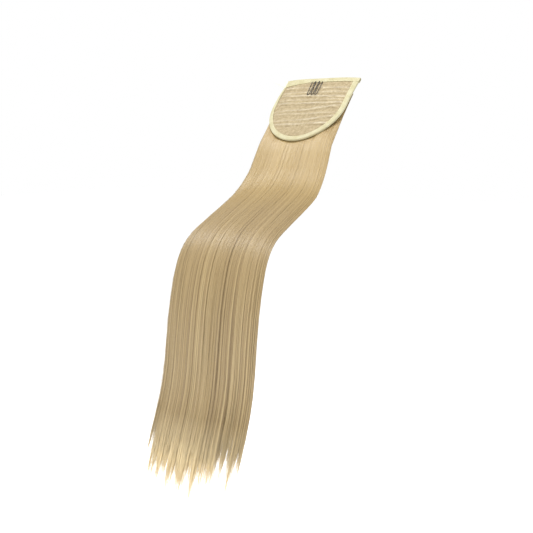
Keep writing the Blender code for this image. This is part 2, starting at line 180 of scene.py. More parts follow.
# Locks of the hair from -X to +X: relative width, station of the tip, sideways drift of the tip
LOCKS = (
    (7, 0.905, -0.005), (9, 0.978, -0.025), (7, 0.970, 0.000), (7, 0.962, 0.010),
    (9, 0.986, -0.005), (15, 1.000, -0.005), (11, 0.985, 0.000), (8, 0.970, 0.015),
    (9, 0.959, 0.010), (10, 0.927, 0.010), (10, 0.946, 0.000), (4, 0.912, 0.010),
)

# Front width of the tape round the U, as shares of TAPE_WIDTH against the share of the way round
EDGE_TAPE_WIDTHS = (
    (0.00, 1.00), (0.25, 0.85), (0.60, 0.90), (0.72, 0.90), (0.80, 0.78), (0.90, 0.60), (1.00, 0.35),
)

# Ribs of the net: where the ridge is at the -X side, in the middle and at the +X side, as shares of
# BASE_LENGTH, and the ridge's strength
RIBS = (
    (0.145, 0.155, 0.171, 0.8),
    (0.230, 0.230, 0.235, 0.8),
    (0.278, 0.292, 0.313, 1.0),
    (0.357, 0.361, 0.352, 0.7),
    (0.413, 0.413, 0.409, 1.0),
    (0.548, 0.522, 0.450, 1.0),
    (0.587, 0.587, 0.574, 0.7),
    (0.709, 0.691, 0.622, 0.9),
    (0.765, 0.757, 0.739, 1.0),
)

# Rows that the hair starts from, in metres along the net
WEFT_ROWS = (0.002, 0.012, 0.022, 0.034, 0.046, 0.058, 0.070, 0.082, 0.094)

# How strongly strands differ in tone, against the station
TONE_CONTRAST = ((0, 0.55), (0.15, 0.45), (0.30, 0.40), (0.42, 0.42), (0.55, 0.85))

# A strand's width as a share of its own, against the share of its length
STRAND_TAPER = ((0, 0.7), (0.06, 1), (0.85, 1), (1, 0.30))

# The point of the drape's plane that the middle of the photo looks at
VIEW_TARGET = (0, -0.13105, -0.23756)

# Soft lights: name, place from the camera's target in metres, power in W and size
LIGHTS = (
    ("overhead", 0.10, -0.20, 1.40, 7.5, 0.35),
    ("key", 0.10, -0.45, 1.30, 4.5, 0.35),
    ("front", 0.10, -0.70, 1.20, 2.0, 0.35),
    ("low", 0.30, -1.20, -0.10, 1.8, 0.50),
    ("fill", 0.20, -0.70, -0.28, 0.7, 0.50),
)


def linear(code):
    """A colour in Blender's linear values from an sRGB hex code."""
    values = [int(code[i : i + 2], 16) / 255 for i in (0, 2, 4)]
    return (*(v / 12.92 if v <= 0.04045 else ((v + 0.055) / 1.055) ** 2.4 for v in values), 1.0)


def colour_property(name, description, code):
    """A colour that a user can change, with its default as an sRGB hex code."""
    return FloatVectorProperty(
        name=name, description=description, subtype="COLOR", size=4, min=0, max=1, default=linear(code)
    )


class HairSettings(bpy.types.PropertyGroup):
    """Sizes of the strands of hair."""

    front_strands: IntProperty(name="Front strands", description="Strands of the front", default=2000)
    back_strands: IntProperty(name="Back strands", description="Strands of the back", default=1400)
    edge_strands: IntProperty(name="Edge strands", description="Strands of the two sides", default=600)
    inner_strands: IntProperty(name="Inner strands", description="Strands inside the tips", default=1500)
    flyaways: IntProperty(name="Flyaways", description="Loose strands off the surface", default=46)
    steps: IntProperty(name="Steps", description="Lengths that each strand is divided into", default=27)
    inner_steps: IntProperty(name="Inner steps", description="Lengths of an inner strand", default=13)
    strand_width: FloatProperty(
        name="Strand width", description="Width of a strand", default=0.00054, unit="LENGTH"
    )
    relief: FloatProperty(
        name="Relief", description="Depth of the grooves between locklets", default=0.0003, unit="LENGTH"
    )
    locklet: FloatProperty(
        name="Locklet width", description="Width of a locklet of strands", default=0.0026, unit="LENGTH"
    )
    feather: FloatProperty(
        name="Feather width", description="Width of a feather at the tips", default=0.0042, unit="LENGTH"
    )
    wander: FloatProperty(
        name="Wander", description="How far a strand strays sideways", default=0.0003, unit="LENGTH"
    )
    scatter: FloatProperty(
        name="Scatter",
        description="How far short of its lock's tip a strand may end, as a share of the hair's length",
        default=0.085,
        subtype="FACTOR",
    )
    seed: IntProperty(name="Seed", description="Seed of the strands", default=7)


class BaseSettings(bpy.types.PropertyGroup):
    """Sizes of the net, its threads and its bindings."""

    rib_height: FloatProperty(
        name="Rib height", description="Height of a rib of the net", default=0.0016, unit="LENGTH"
    )
    thread_pitch: FloatProperty(
        name="Thread pitch", description="Distance between threads", default=0.0016, unit="LENGTH"
    )
    thread_width: FloatProperty(
        name="Thread width", description="Width of a net thread", default=0.00026, unit="LENGTH"
    )
    pucker: FloatProperty(
        name="Pucker", description="Waviness of a tape's edge", default=0.00022, unit="LENGTH"
    )
    stitch_pitch: FloatProperty(
        name="Stitch pitch", description="Distance between stitches", default=0.0031, unit="LENGTH"
    )
    stitch_length: FloatProperty(
        name="Stitch length", description="Length of a stitch", default=0.0023, unit="LENGTH"
    )
    stitch_width: FloatProperty(
        name="Stitch width", description="Width of a stitch", default=0.00040, unit="LENGTH"
    )
    seed: IntProperty(name="Seed", description="Seed of the puckers", default=3)


class ColourSettings(bpy.types.PropertyGroup):
    """Colours of the hair, the net, the bindings and the comb."""

    hair_deep: colour_property("Hair, deepest", "Strands that lie deepest in tone", "6c5737")
    hair_dark: colour_property("Hair, dark", "Dark strands", "947d58")
    hair_middle: colour_property("Hair, middle", "Strands of the middle tone", "b0996f")
    hair_light: colour_property("Hair, light", "Light strands", "c3ae81")
    hair_bright: colour_property("Hair, brightest", "The brightest strands", "dac79e")
    hair_near_base: colour_property("Hair near the base", "Gold that the hair near the base takes", "c0a25b")
    # Partly the tips' own colour and partly painted light against the shade that the strands cast on one
    # another at the tips.
    hair_tips: colour_property("Hair tips", "Colour that the hair pales to at its tips", "ffecbf")
    net_dark: colour_property("Net, dark", "Dark streaks of the net", "8a7a5b")
    net_middle: colour_property("Net, middle", "Middle tone of the net", "b5a582")
    net_light: colour_property("Net, light", "Light streaks of the net", "d5c8a4")
    tape_dark: colour_property("Tape, dark", "Darker clouds of the cream tape", "bfb78e")
    tape_light: colour_property("Tape, light", "Lighter clouds of the cream tape", "cdc7a6")
    tab_dark: colour_property("Tab, dark", "Darker clouds of the white tab", "dfe0cc")
    tab_light: colour_property("Tab, light", "Lighter clouds of the white tab", "e9eada")
    wire_dark: colour_property("Wire, dark", "Darkest enamel of the comb", "140d0c")
    wire_middle: colour_property("Wire, middle", "Most of the comb's enamel", "1f1614")
    wire_worn: colour_property("Wire, worn", "Worn patches of the enamel", "45362f")


class StageSettings(bpy.types.PropertyGroup):
    """The camera, the lights and the floor."""

    azimuth: FloatProperty(
        name="Azimuth",
        description="Camera's turn to +X of the front",
        default=math.radians(33.944),
        subtype="ANGLE",
    )
    elevation: FloatProperty(
        name="Elevation",
        description="Camera's height above the object's middle",
        default=math.radians(8.5715),
        subtype="ANGLE",
    )
    distance: FloatProperty(
        name="Distance", description="Camera's distance from its target", default=1.1, unit="LENGTH"
    )
    lens: FloatProperty(
        name="Lens", description="Focal length on a 36 mm sensor", default=55.863, unit="CAMERA"
    )
    power: FloatProperty(
        name="Light power", description="Share of the lights' own power", default=1.0, subtype="FACTOR"
    )
    ambient: FloatProperty(
        name="Ambient", description="Brightness of the surroundings", default=0.68, subtype="FACTOR"
    )
    floor_drop: FloatProperty(
        name="Floor drop", description="Floor's distance below the tips", default=0.10, unit="LENGTH"
    )


def trace_drape():
    """Arc lengths, Y, Z and slopes along the drape, by adding up short steps."""
    shares, slopes = np.array(FALL_SLOPES).T
    s = np.arange(-TAPE_WIDTH, HAIR_LENGTH + 20 * PATH_STEP, PATH_STEP)
    share = np.clip((s - BASE_LENGTH) / FREE_LENGTH, 0, 1)
    slope = np.radians(np.where(s < BASE_LENGTH, BASE_SLOPE, np.interp(share, shares, slopes)))
    middle = (slope[1:] + slope[:-1]) / 2
    y = np.concatenate([[0], np.cumsum(-np.cos(middle) * PATH_STEP)])
    z = np.concatenate([[0], np.cumsum(-np.sin(middle) * PATH_STEP)])
    return s, y - np.interp(ORIGIN_S, s, y), z - np.interp(ORIGIN_S, s, z), slope


DRAPE = trace_drape()


def world(x, s, n):
    """Points in the frame of places in the drape's coordinates."""
    x, s, n = np.broadcast_arrays(*(np.asarray(v, float) for v in (x, s, n)))
    along, y, z, slope = DRAPE
    at = np.interp(s, along, slope)
    return np.stack([x, np.interp(s, along, y) - n * np.sin(at), np.interp(s, along, z) + n * np.cos(at)], -1)


def bow(x):
    """How far the base curves back at x."""
    beyond = np.maximum(np.abs(x) - BASE_FLAT, 0)
    outside = BASE_BOW + 2 * BASE_BOW / BOW_SPAN * (beyond - BOW_SPAN)
    return np.where(beyond <= BOW_SPAN, BASE_BOW * (beyond / BOW_SPAN) ** 2, outside)


def lean(s, amount=BASE_LEAN):
    """How far the middle of the base, or of the hair, has shifted towards -X at s."""
    return -amount * np.sin(np.pi / 2 * np.clip(np.asarray(s, float) / BASE_LEG, 0, 1))


def on_base(x, s, n):
    """Places on the bowed base."""
    return world(x, s, n - bow(x))


def half_width(s):
    """Half the net's width at s: legs that widen a little, then half an ellipse."""
    leg = HALF_BASE + BASE_BULGE * np.sin(np.pi / 2 * np.clip(s / BASE_LEG, 0, 1))
    down = np.clip((s - BASE_LEG) / (BASE_LENGTH - BASE_LEG), 0, 1)
    return leg * np.sqrt(1 - down**2)


def station_of(s):
    """Stations of the hair: -1 at the net's top edge, 0 at its low point, 1 at the tips."""
    return np.where(s < BASE_LENGTH, s / BASE_LENGTH - 1, (s - BASE_LENGTH) / FREE_LENGTH)


def length_of(station):
    """s of stations of the hair."""
    return BASE_LENGTH + np.where(station < 0, BASE_LENGTH, FREE_LENGTH) * station


def past_tape(x, s):
    """0 over and under the U's tape, rising to 1 a few millimetres beyond it."""
    wide = HALF_BASE + BASE_BULGE
    across = x / wide
    down = np.maximum(s - BASE_LEG, 0) / (BASE_LENGTH - BASE_LEG)
    beyond = (np.sqrt(across**2 + down**2) - 1) * wide - EDGE_WRAP - CLEARANCE
    share = np.clip(beyond / 0.007, 0, 1)
    return share * share * (3 - 2 * share)


def hair_place(t, s, depth):
    """x, s and n in the hair: t from -1 to 1 across it, and depth from -1 behind to 1 in front."""
    stations, widths, thicknesses, bows, shifts = np.array(HAIR_SECTIONS).T
    station = station_of(s)
    half = np.interp(station, stations, widths) * HAIR_WIDTH / 2
    thickness = np.interp(station, stations, thicknesses) * HAIR_THICKNESS
    rise = np.clip(station / 0.15, 0, 1)
    front = TAPE_BACK - CLEARANCE + HAIR_FRONT_RISE * rise * rise * (3 - 2 * rise)
    power = np.interp(station, (0.0, 0.25), (HAIR_BASE_POWER, HAIR_EDGE_POWER))
    edge = np.sqrt(np.clip(1 - np.abs(t) ** power, 0, 1))
    x = half * t
    n = front - thickness / 2 + depth * thickness / 2 * edge - np.interp(station, stations, bows) * bow(x)
    n = n + HAIR_PUFF * (1 - rise) * past_tape(x, s) * edge * np.maximum(depth, 0)
    return x + lean(s, HAIR_LEAN) + np.interp(station, stations, shifts), s, n


def smooth_noise(places, pitch, seed, octaves=2):
    """Smooth noise between -1 and 1 along one direction, with features about pitch apart."""
    places = np.asarray(places, float)
    total = np.zeros(places.shape)
    for octave in range(octaves):
        values = np.random.default_rng(seed + octave).uniform(-1, 1, 4096)
        at = places / pitch * 2**octave + 2048
        low = np.floor(at).astype(int)
        part = at - low
        part = part * part * (3 - 2 * part)
        total += (values[low % 4096] * (1 - part) + values[(low + 1) % 4096] * part) / 2**octave
    return total / (2 - 2 ** (1 - octaves))


# Node trees
def add_node(tree, kind, inputs=None, **settings):
    """A new node with its settings and its inputs set or linked, by name or by number."""
    node = tree.nodes.new(kind)
    for name, value in settings.items():
        setattr(node, name, value)
    for name, value in (inputs or {}).items():
        if isinstance(value, bpy.types.NodeSocket):
            tree.links.new(value, node.inputs[name])
        else:
            node.inputs[name].default_value = value
    return node


def geometry_tree(name, inputs):
    """A Geometry Nodes tree with the named inputs and one geometry output."""
    tree = bpy.data.node_groups.new(name, "GeometryNodeTree")
    tree.interface.new_socket(name="Geometry", in_out="INPUT", socket_type="NodeSocketGeometry")
    for label, kind, default in inputs:
        socket = tree.interface.new_socket(name=label, in_out="INPUT", socket_type=kind)
        if default is not None:
            socket.default_value = default
    tree.interface.new_socket(name="Geometry", in_out="OUTPUT", socket_type="NodeSocketGeometry")
    return tree, tree.nodes.new("NodeGroupInput").outputs


def close_tree(tree, geometry, given):
    """Realizes the geometry, gives it the material and hands it to the output."""
    real = add_node(tree, "GeometryNodeRealizeInstances", {"Geometry": geometry})
    smooth = add_node(tree, "GeometryNodeSetShadeSmooth", {"Geometry": real.outputs[0]})
    inputs = {"Geometry": smooth.outputs[0], "Material": given["Material"]}
    finished = add_node(tree, "GeometryNodeSetMaterial", inputs)
    add_node(tree, "NodeGroupOutput", {"Geometry": finished.outputs[0]})


def sweep_tree():
    """A tree that sweeps a round tube along every line of a mesh and lets each line stray a little.

    The mesh's "width" attribute is the share of the full width at each point.
    """
    tree, given = geometry_tree(
        "Sweep lines",
        (
            ("Width", "NodeSocketFloat", 0.001),
            ("Sides", "NodeSocketInt", 3),
            ("Closed ends", "NodeSocketBool", False),
            ("Stray", "NodeSocketFloat", 0.0),
            ("Stray size", "NodeSocketFloat", 20.0),
            ("Seed", "NodeSocketFloat", 1.0),
            ("Material", "NodeSocketMaterial", None),
        ),
    )
    curves = add_node(tree, "GeometryNodeMeshToCurve", {"Mesh": given["Geometry"]})
    inputs = {"Scale": given["Stray size"], "W": given["Seed"], "Detail": 1.0}
    noise = add_node(tree, "ShaderNodeTexNoise", inputs, noise_dimensions="4D")
    centred = add_node(
        tree, "ShaderNodeVectorMath", {0: noise.outputs["Color"], 1: (0.5, 0.5, 0.5)}, operation="SUBTRACT"
    )
    offset = add_node(
        tree, "ShaderNodeVectorMath", {0: centred.outputs[0], "Scale": given["Stray"]}, operation="SCALE"
    )
    inputs = {"Geometry": curves.outputs[0], "Offset": offset.outputs[0]}
    strayed = add_node(tree, "GeometryNodeSetPosition", inputs)
    radius = add_node(tree, "ShaderNodeMath", {0: given["Width"], 1: 0.5}, operation="MULTIPLY")
    share = add_node(tree, "GeometryNodeInputNamedAttribute", {"Name": "width"}, data_type="FLOAT")
    profile = add_node(
        tree, "GeometryNodeCurvePrimitiveCircle", {"Resolution": given["Sides"], "Radius": radius.outputs[0]}
    )
    tube = add_node(
        tree,
        "GeometryNodeCurveToMesh",
        {
            "Curve": strayed.outputs[0],
            "Profile Curve": profile.outputs[0],
            "Scale": share.outputs[0],
            "Fill Caps": given["Closed ends"],
        },
    )
    close_tree(tree, tube.outputs[0], given)
    return tree


def stitch_tree():
    """A tree that sets out short rounded stitches along every line of a mesh."""
    tree, given = geometry_tree(
        "Stitch lines",
        (
            ("Pitch", "NodeSocketFloat", 0.003),
            ("Length", "NodeSocketFloat", 0.002),
            ("Width", "NodeSocketFloat", 0.0004),
            ("Seed", "NodeSocketInt", 1),
            ("Material", "NodeSocketMaterial", None),
        ),
    )
    curves = add_node(tree, "GeometryNodeMeshToCurve", {"Mesh": given["Geometry"]})
    inputs = {"Curve": curves.outputs[0], "Length": given["Pitch"]}
    points = add_node(tree, "GeometryNodeCurveToPoints", inputs, mode="LENGTH")
    stitch = add_node(tree, "GeometryNodeMeshUVSphere", {"Segments": 6, "Rings": 5, "Radius": 0.5})
    size = add_node(
        tree, "ShaderNodeCombineXYZ", {"X": given["Width"], "Y": given["Width"], "Z": given["Length"]}
    )
    varied = add_node(
        tree, "FunctionNodeRandomValue", {2: 0.85, 3: 1.1, "Seed": given["Seed"]}, data_type="FLOAT"
    )
    scale = add_node(
        tree, "ShaderNodeVectorMath", {0: size.outputs[0], "Scale": varied.outputs[1]}, operation="SCALE"
    )
    inputs = {
        "Points": points.outputs["Points"],
        "Instance": stitch.outputs["Mesh"],
        "Rotation": points.outputs["Rotation"],
        "Scale": scale.outputs[0],
    }
    placed = add_node(tree, "GeometryNodeInstanceOnPoints", inputs)
    close_tree(tree, placed.outputs[0], given)
    return tree


def shader_tree(name, roughness, specular=0.5, sheen=0.0):
    """A material with its Principled shader, ready for colour and bump."""
    material = bpy.data.materials.new(name)
    material.use_nodes = True
    shader = material.node_tree.nodes["Principled BSDF"]
    shader.inputs["Roughness"].default_value = roughness
    shader.inputs["Specular IOR Level"].default_value = specular
    shader.inputs["Sheen Weight"].default_value = sheen
    return material, material.node_tree, shader


def colour_ramp(tree, factor, stops):
    """A colour ramp of stops, each a place and a colour or its sRGB hex code."""
    ramp = add_node(tree, "ShaderNodeValToRGB", {"Fac": factor})
    while len(ramp.color_ramp.elements) < len(stops):
        ramp.color_ramp.elements.new(0.5)
    for element, (place, colour) in zip(ramp.color_ramp.elements, stops):
        element.position = place
        element.color = linear(colour) if isinstance(colour, str) else colour
    return ramp.outputs["Color"]


def mix_colour(tree, factor, first, second):
    """The two colours mixed by factor."""
    mix = add_node(tree, "ShaderNodeMix", data_type="RGBA")
    for socket, value in ((mix.inputs[0], factor), (mix.inputs[6], first), (mix.inputs[7], second)):
        if isinstance(value, bpy.types.NodeSocket):
            tree.links.new(value, socket)
        else:
            socket.default_value = value
    return mix.outputs[2]


def noise_at(tree, vector, scale, detail=2.0, stretch=(1, 1, 1)):
    """Noise read at a vector that is first stretched."""
    mapping = add_node(tree, "ShaderNodeMapping", {"Vector": vector, "Scale": stretch})
    noise = add_node(
        tree, "ShaderNodeTexNoise", {"Vector": mapping.outputs[0], "Scale": scale, "Detail": detail}
    )
    return noise.outputs["Fac"]


def add_bump(tree, shader, height, distance):
    """Bump of the given height in metres on the shader's normal."""
    bump = add_node(tree, "ShaderNodeBump", {"Height": height, "Distance": distance, "Strength": 1.0})
    tree.links.new(bump.outputs[0], shader.inputs["Normal"])


# Materials
def hair_material(colours):
    """Satin synthetic hair fibre: each strand has its own tone, and the tips are paler, partly the fibre's
    own paling and partly painted light.
    """
    material, tree, shader = shader_tree("synthetic_hair_fibre", 0.34, specular=0.6)
    tone = add_node(tree, "ShaderNodeAttribute", attribute_name="tone").outputs["Fac"]
    along = add_node(tree, "ShaderNodeAttribute", attribute_name="along").outputs["Fac"]
    tones = (
        (0.0, colours.hair_deep),
        (0.28, colours.hair_dark),
        (0.55, colours.hair_middle),
        (0.8, colours.hair_light),
        (1.0, colours.hair_bright),
    )
    near_base = ((0.0, "a0a0a0"), (0.13, "a0a0a0"), (0.27, "000000"), (1.0, "000000"))
    golden = colour_ramp(tree, along, near_base)
    body = mix_colour(tree, golden, colour_ramp(tree, tone, tones), colours.hair_near_base)
    # The paler tips are partly the fibre's own colour and partly painted light, which brightens them against
    # the shade that the strands cast on one another there.
    paler = ((0.0, "000000"), (0.82, "000000"), (0.88, "a0a0a0"), (0.925, "f2f2f2"), (1.0, "ffffff"))
    tips = colour_ramp(tree, along, paler)
    colour = mix_colour(tree, tips, body, colours.hair_tips)
    tree.links.new(colour, shader.inputs["Base Color"])
    return material


def hair_bed_material():
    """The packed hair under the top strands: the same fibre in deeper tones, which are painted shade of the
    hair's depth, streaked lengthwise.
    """
    material, tree, shader = shader_tree("packed_hair_fibre_painted_shade", 0.55, specular=0.4)
    place = add_node(tree, "ShaderNodeUVMap", uv_map="OFBake").outputs["UV"]
    streaks = noise_at(tree, place, 1.0, 3.0, (220, 5, 1))
    # Painted shade: these tones are deeper than the strands' own, for the shade deep inside the hair.
    colour = colour_ramp(tree, streaks, ((0.3, "76613f"), (0.5, "967f5a"), (0.7, "ad9670")))
    tree.links.new(colour, shader.inputs["Base Color"])
    add_bump(tree, shader, streaks, 0.0006)
    return material


def net_material(colours):
    """Fine tan wig net over rows of sewn hair: streaked along the rows, with a painted highlight on the ribs'
    ridges and a painted shadow under each rib.
    """
    material, tree, shader = shader_tree("wig_net", 0.8, specular=0.25, sheen=0.15)
    place = add_node(tree, "ShaderNodeTexCoord").outputs["Object"]
    rows = noise_at(tree, place, 560, 3.0, (0.4, 1, 1))
    specks = noise_at(tree, place, 700, 2.0)
    ridge = add_node(tree, "ShaderNodeAttribute", attribute_name="ridge").outputs["Fac"]
    streaks = ((0.34, colours.net_dark), (0.5, colours.net_middle), (0.66, colours.net_light))
    base = colour_ramp(tree, rows, streaks)
    mottle = noise_at(tree, place, 300, 3.0, (0.7, 1, 1))
    patches = colour_ramp(tree, mottle, ((0.38, "91805e"), (0.5, "b8a884"), (0.62, "d9cdaa")))
    speckled = mix_colour(tree, specks, base, patches)
    # Painted light: the ridge attribute is brightest on the ribs' ridges (painted highlight) and darkest in
    # the band just under each rib (painted shadow).
    lit = colour_ramp(tree, ridge, ((0.0, "5f4b34"), (0.32, "b3a07d"), (0.55, "c6b592"), (1.0, "fbf4e2")))
    colour = mix_colour(tree, 0.5, speckled, lit)
    tree.links.new(colour, shader.inputs["Base Color"])
    add_bump(tree, shader, rows, 0.0004)
    return material


def thread_material(name, dark, light):
    """Matt spun thread, a little uneven in tone."""
    material, tree, shader = shader_tree(name, 0.75, specular=0.3, sheen=0.2)
    place = add_node(tree, "ShaderNodeTexCoord").outputs["Object"]
    colour = colour_ramp(tree, noise_at(tree, place, 260, 2.0), ((0.35, dark), (0.65, light)))
    tree.links.new(colour, shader.inputs["Base Color"])
    return material


def tape_material(name, dark, light):
    """Woven cotton tape: a fine twill in the bump and a slight cloudiness in the colour."""
    material, tree, shader = shader_tree(name, 0.78, specular=0.25, sheen=0.2)
    place = add_node(tree, "ShaderNodeTexCoord").outputs["Object"]
    clouds = noise_at(tree, place, 120, 3.0)
    colour = colour_ramp(tree, clouds, ((0.3, dark), (0.7, light)))
    tree.links.new(colour, shader.inputs["Base Color"])
    twill = add_node(
        tree,
        "ShaderNodeTexWave",
        {"Vector": place, "Scale": 420.0, "Distortion": 1.0, "Detail": 1.0},
        bands_direction="DIAGONAL",
    )
    add_bump(tree, shader, twill.outputs["Fac"], 0.00012)
    return material


def wire_material(colours):
    """Steel wire in dark brown enamel, worn to a paler brown in small patches."""
    material, tree, shader = shader_tree("enamelled_comb_wire", 0.3, specular=0.6)
    place = add_node(tree, "ShaderNodeTexCoord").outputs["Object"]
    wear = noise_at(tree, place, 420, 3.0)
    stops = ((0.35, colours.wire_dark), (0.6, colours.wire_middle), (0.75, colours.wire_worn))
    colour = colour_ramp(tree, wear, stops)
    tree.links.new(colour, shader.inputs["Base Color"])
    shader.inputs["Coat Weight"].default_value = 0.3
    return material


# Meshes
def link_mesh(name, mesh):
    """An object of the mesh at the origin."""
    piece = bpy.data.objects.new(name, mesh)
    bpy.context.scene.collection.objects.link(piece)
    return piece


def lines_mesh(name, paths, attributes=None):
    """A mesh of lines: paths is an array of lines by points by 3, or a list of such lines."""
    counts = [len(path) for path in paths]
    points = np.concatenate([np.asarray(path, float) for path in paths])
    starts = np.repeat(np.cumsum([0] + counts[:-1]), [c - 1 for c in counts])
    steps = np.concatenate([np.arange(c - 1) for c in counts])
    mesh = bpy.data.meshes.new(name)
    mesh.vertices.add(len(points))
    mesh.vertices.foreach_set("co", points.ravel())
    mesh.edges.add(len(steps))
    first = starts + steps
    mesh.edges.foreach_set("vertices", np.stack([first, first + 1], -1).ravel())
    values = {"width": np.ones(len(points))}
    values.update(attributes or {})
    for label, data in values.items():
        mesh.attributes.new(label, "FLOAT", "POINT").data.foreach_set("value", np.ravel(data))
    mesh.update()
    return mesh


def run_tree(name, mesh, tree, inputs):
    """The plain mesh that a Geometry Nodes tree makes from a mesh, as an object."""
    source = link_mesh(name + "_lines", mesh)
    modifier = source.modifiers.new("tree", "NODES")
    modifier.node_group = tree
    keys = {item.name: item.identifier for item in tree.interface.items_tree if item.in_out == "INPUT"}
    for label, value in inputs.items():
        modifier[keys[label]] = value
    bpy.context.view_layer.update()
    graph = bpy.context.evaluated_depsgraph_get()
    made = bpy.data.meshes.new_from_object(source.evaluated_get(graph))
    made.name = name
    bpy.data.objects.remove(source)
    bpy.data.meshes.remove(mesh)
    if not made.polygons:
        raise RuntimeError(name + " came out empty")
    return link_mesh(name, made)


def read_points(mesh, label):
    """A point attribute of a mesh as an array."""
    values = np.zeros(len(mesh.vertices))
    mesh.attributes[label].data.foreach_get("value", values)
    return values


def strip_uv(mesh, sides, rows, per_row):
    """Gives each tube a strip of its own in the UV map that bakes read, set out in rows."""
    strand = read_points(mesh, "strand").astype(int)
    along = read_points(mesh, "strip")
    side = np.arange(len(mesh.vertices)) % sides / (sides - 1)
    u = (strand % per_row + 0.1 + 0.8 * side) / per_row
    v = (strand // per_row + 0.02 + 0.96 * along) / rows
    corners = np.zeros(len(mesh.loops), int)
    mesh.loops.foreach_get("vertex_index", corners)
    layer = mesh.uv_layers.new(name="OFBake")
    layer.data.foreach_set("uv", np.stack([u[corners], v[corners]], -1).ravel())


def grid_faces(rows, columns, start=0, wrap=False):
    """Quads over a grid of points, as an array of faces by 4."""
    wide = columns if wrap else columns - 1
    row, column = np.meshgrid(np.arange(rows - 1), np.arange(wide), indexing="ij")
    after = (column + 1) % columns
    faces = [row * columns + column, row * columns + after, (row + 1) * columns + after]
    faces.append((row + 1) * columns + column)
    return np.stack(faces, -1).reshape(-1, 4) + start


def surface_mesh(name, points, faces, material, attributes):
    """A smooth mesh object from points and quads, with point attributes."""
    mesh = bpy.data.meshes.new(name)
    mesh.from_pydata(points.reshape(-1, 3).tolist(), [], [tuple(face) for face in faces])
    mesh.shade_smooth()
    mesh.materials.append(material)
    for label, data in attributes.items():
        mesh.attributes.new(label, "FLOAT", "POINT").data.foreach_set("value", np.ravel(data))
    mesh.update()
    return link_mesh(name, mesh)


def rings_uv(mesh, count, around):
    """Lays a tube's rings out as a grid, and its two ends as small discs, in the UV map for bakes."""
    u, v = [], []
    for row in range(count - 1):
        for column in range(around):
            u += [column / around, (column + 1) / around, (column + 1) / around, column / around]
            v += [row, row, row + 1, row + 1]
    top = 0.94 / (count - 1)
    pairs = [(0.02 + 0.96 * a, 0.03 + top * b) for a, b in zip(u, v)]
    for low in (0.0, 0.98):
        for k in range(around):
            turn = 2 * math.pi * k / around
            pairs.append((0.01 + 0.009 * math.cos(turn), low + 0.01 + 0.009 * math.sin(turn)))
    mesh.uv_layers.new(name="OFBake").data.foreach_set("uv", np.array(pairs).ravel())


def rings_mesh(name, rings, material):
    """A closed smooth tube through rings of equally many points, with flat ends."""
    rings = np.asarray(rings, float)
    count, around = rings.shape[:2]
    quads = grid_faces(count, around, wrap=True)
    ends = [tuple(range(around))[::-1], tuple(range((count - 1) * around, count * around))]
    mesh = bpy.data.meshes.new(name)
    mesh.from_pydata(rings.reshape(-1, 3).tolist(), [], [tuple(f) for f in quads] + ends)
    mesh.shade_smooth()
    mesh.set_sharp_from_angle(angle=math.radians(55))
    mesh.materials.append(material)
    rings_uv(mesh, count, around)
    mesh.update()
    return link_mesh(name, mesh)


# Hair
def lock_layout():
    """Edges of the locks across the hair, their middles, tips and drifts."""
    widths, reaches, drifts = np.array(LOCKS, float).T
    edges = np.concatenate([[-1], 2 * np.cumsum(widths) / widths.sum() - 1])
    return edges, (edges[:-1] + edges[1:]) / 2, reaches, drifts


def even_steps(start, end, steps):
    """Places along s from each start to each end, on one grid that is finer where the drape bends."""
    along, _, _, slope = DRAPE
    effort = np.concatenate([[0], np.cumsum(np.abs(np.diff(slope)) / 0.10 + np.diff(along) / 0.050)])
    low, high = (np.interp(place, along, effort) for place in (start.min(), end.max()))
    grid = np.interp(np.linspace(low, high, steps + 1), effort, along)
    count = np.arange(steps + 1)
    s = np.maximum(grid, start[:, None] + 0.0004 * count)
    return np.minimum(s, end[:, None] - 0.0004 * (steps - count))


def root_places(t, depth, rng):
    """Where strands start: the back ones from the net's top row, the front ones from lower rows."""
    rows = np.array(WEFT_ROWS)
    front = np.clip((depth + 1) / 2, 0, 1)
    wanted = front * (rows[-1] - rows[0]) * rng.uniform(0.55, 1.0, t.shape)
    inside = BASE_LEG + (BASE_LENGTH - BASE_LEG) * np.sqrt(np.clip(1 - t**2, 0, 1)) - 0.012
    wanted = np.minimum(wanted, inside)
    nearest = rows[np.argmin(np.abs(wanted[:, None] - rows), axis=1)]
    return nearest + rng.uniform(0, 0.002, t.shape)


def feather_layout(settings):
    """The feathers that the locks end in: edges, middles, locks and reaches."""
    edges, _, reaches, _ = lock_layout()
    rng = np.random.default_rng(settings.seed + 31)
    starts, locks, ends = [], [], []
    for lock, (low, high) in enumerate(zip(edges[:-1], edges[1:])):
        count = max(2, round((high - low) * HAIR_WIDTH / 2 / settings.feather))
        cuts = np.linspace(low, high, count + 1)[:-1]
        middle = np.abs(np.linspace(-1, 1, count)) if count > 2 else np.array([0.2, 0.5])
        starts += list(cuts + rng.uniform(-0.2, 0.2, count) * (high - low) / count * (cuts > low))
        locks += [lock] * count
        ends += list(reaches[lock] + 0.040 - 0.034 * middle**1.2 - rng.uniform(0, 0.014, count))
    starts = np.array(starts + [1.0])
    return starts, (starts[:-1] + starts[1:]) / 2, np.array(locks), np.array(ends)


def strand_ends(settings, t, rng):
    """The lock and feather of each strand, how far it is from the feather's middle, and its end."""
    starts, middles, locks, ends = feather_layout(settings)
    feather = np.clip(np.searchsorted(starts, t) - 1, 0, len(middles) - 1)
    beside = (t - middles[feather]) / ((starts[1:] - starts[:-1])[feather] / 2)
    short = settings.scatter * rng.uniform(0, 1, t.shape) ** 0.55 + 0.022 * np.abs(beside) ** 1.4
    return locks[feather], middles[feather], ends[feather], ends[feather] + 0.004 - short


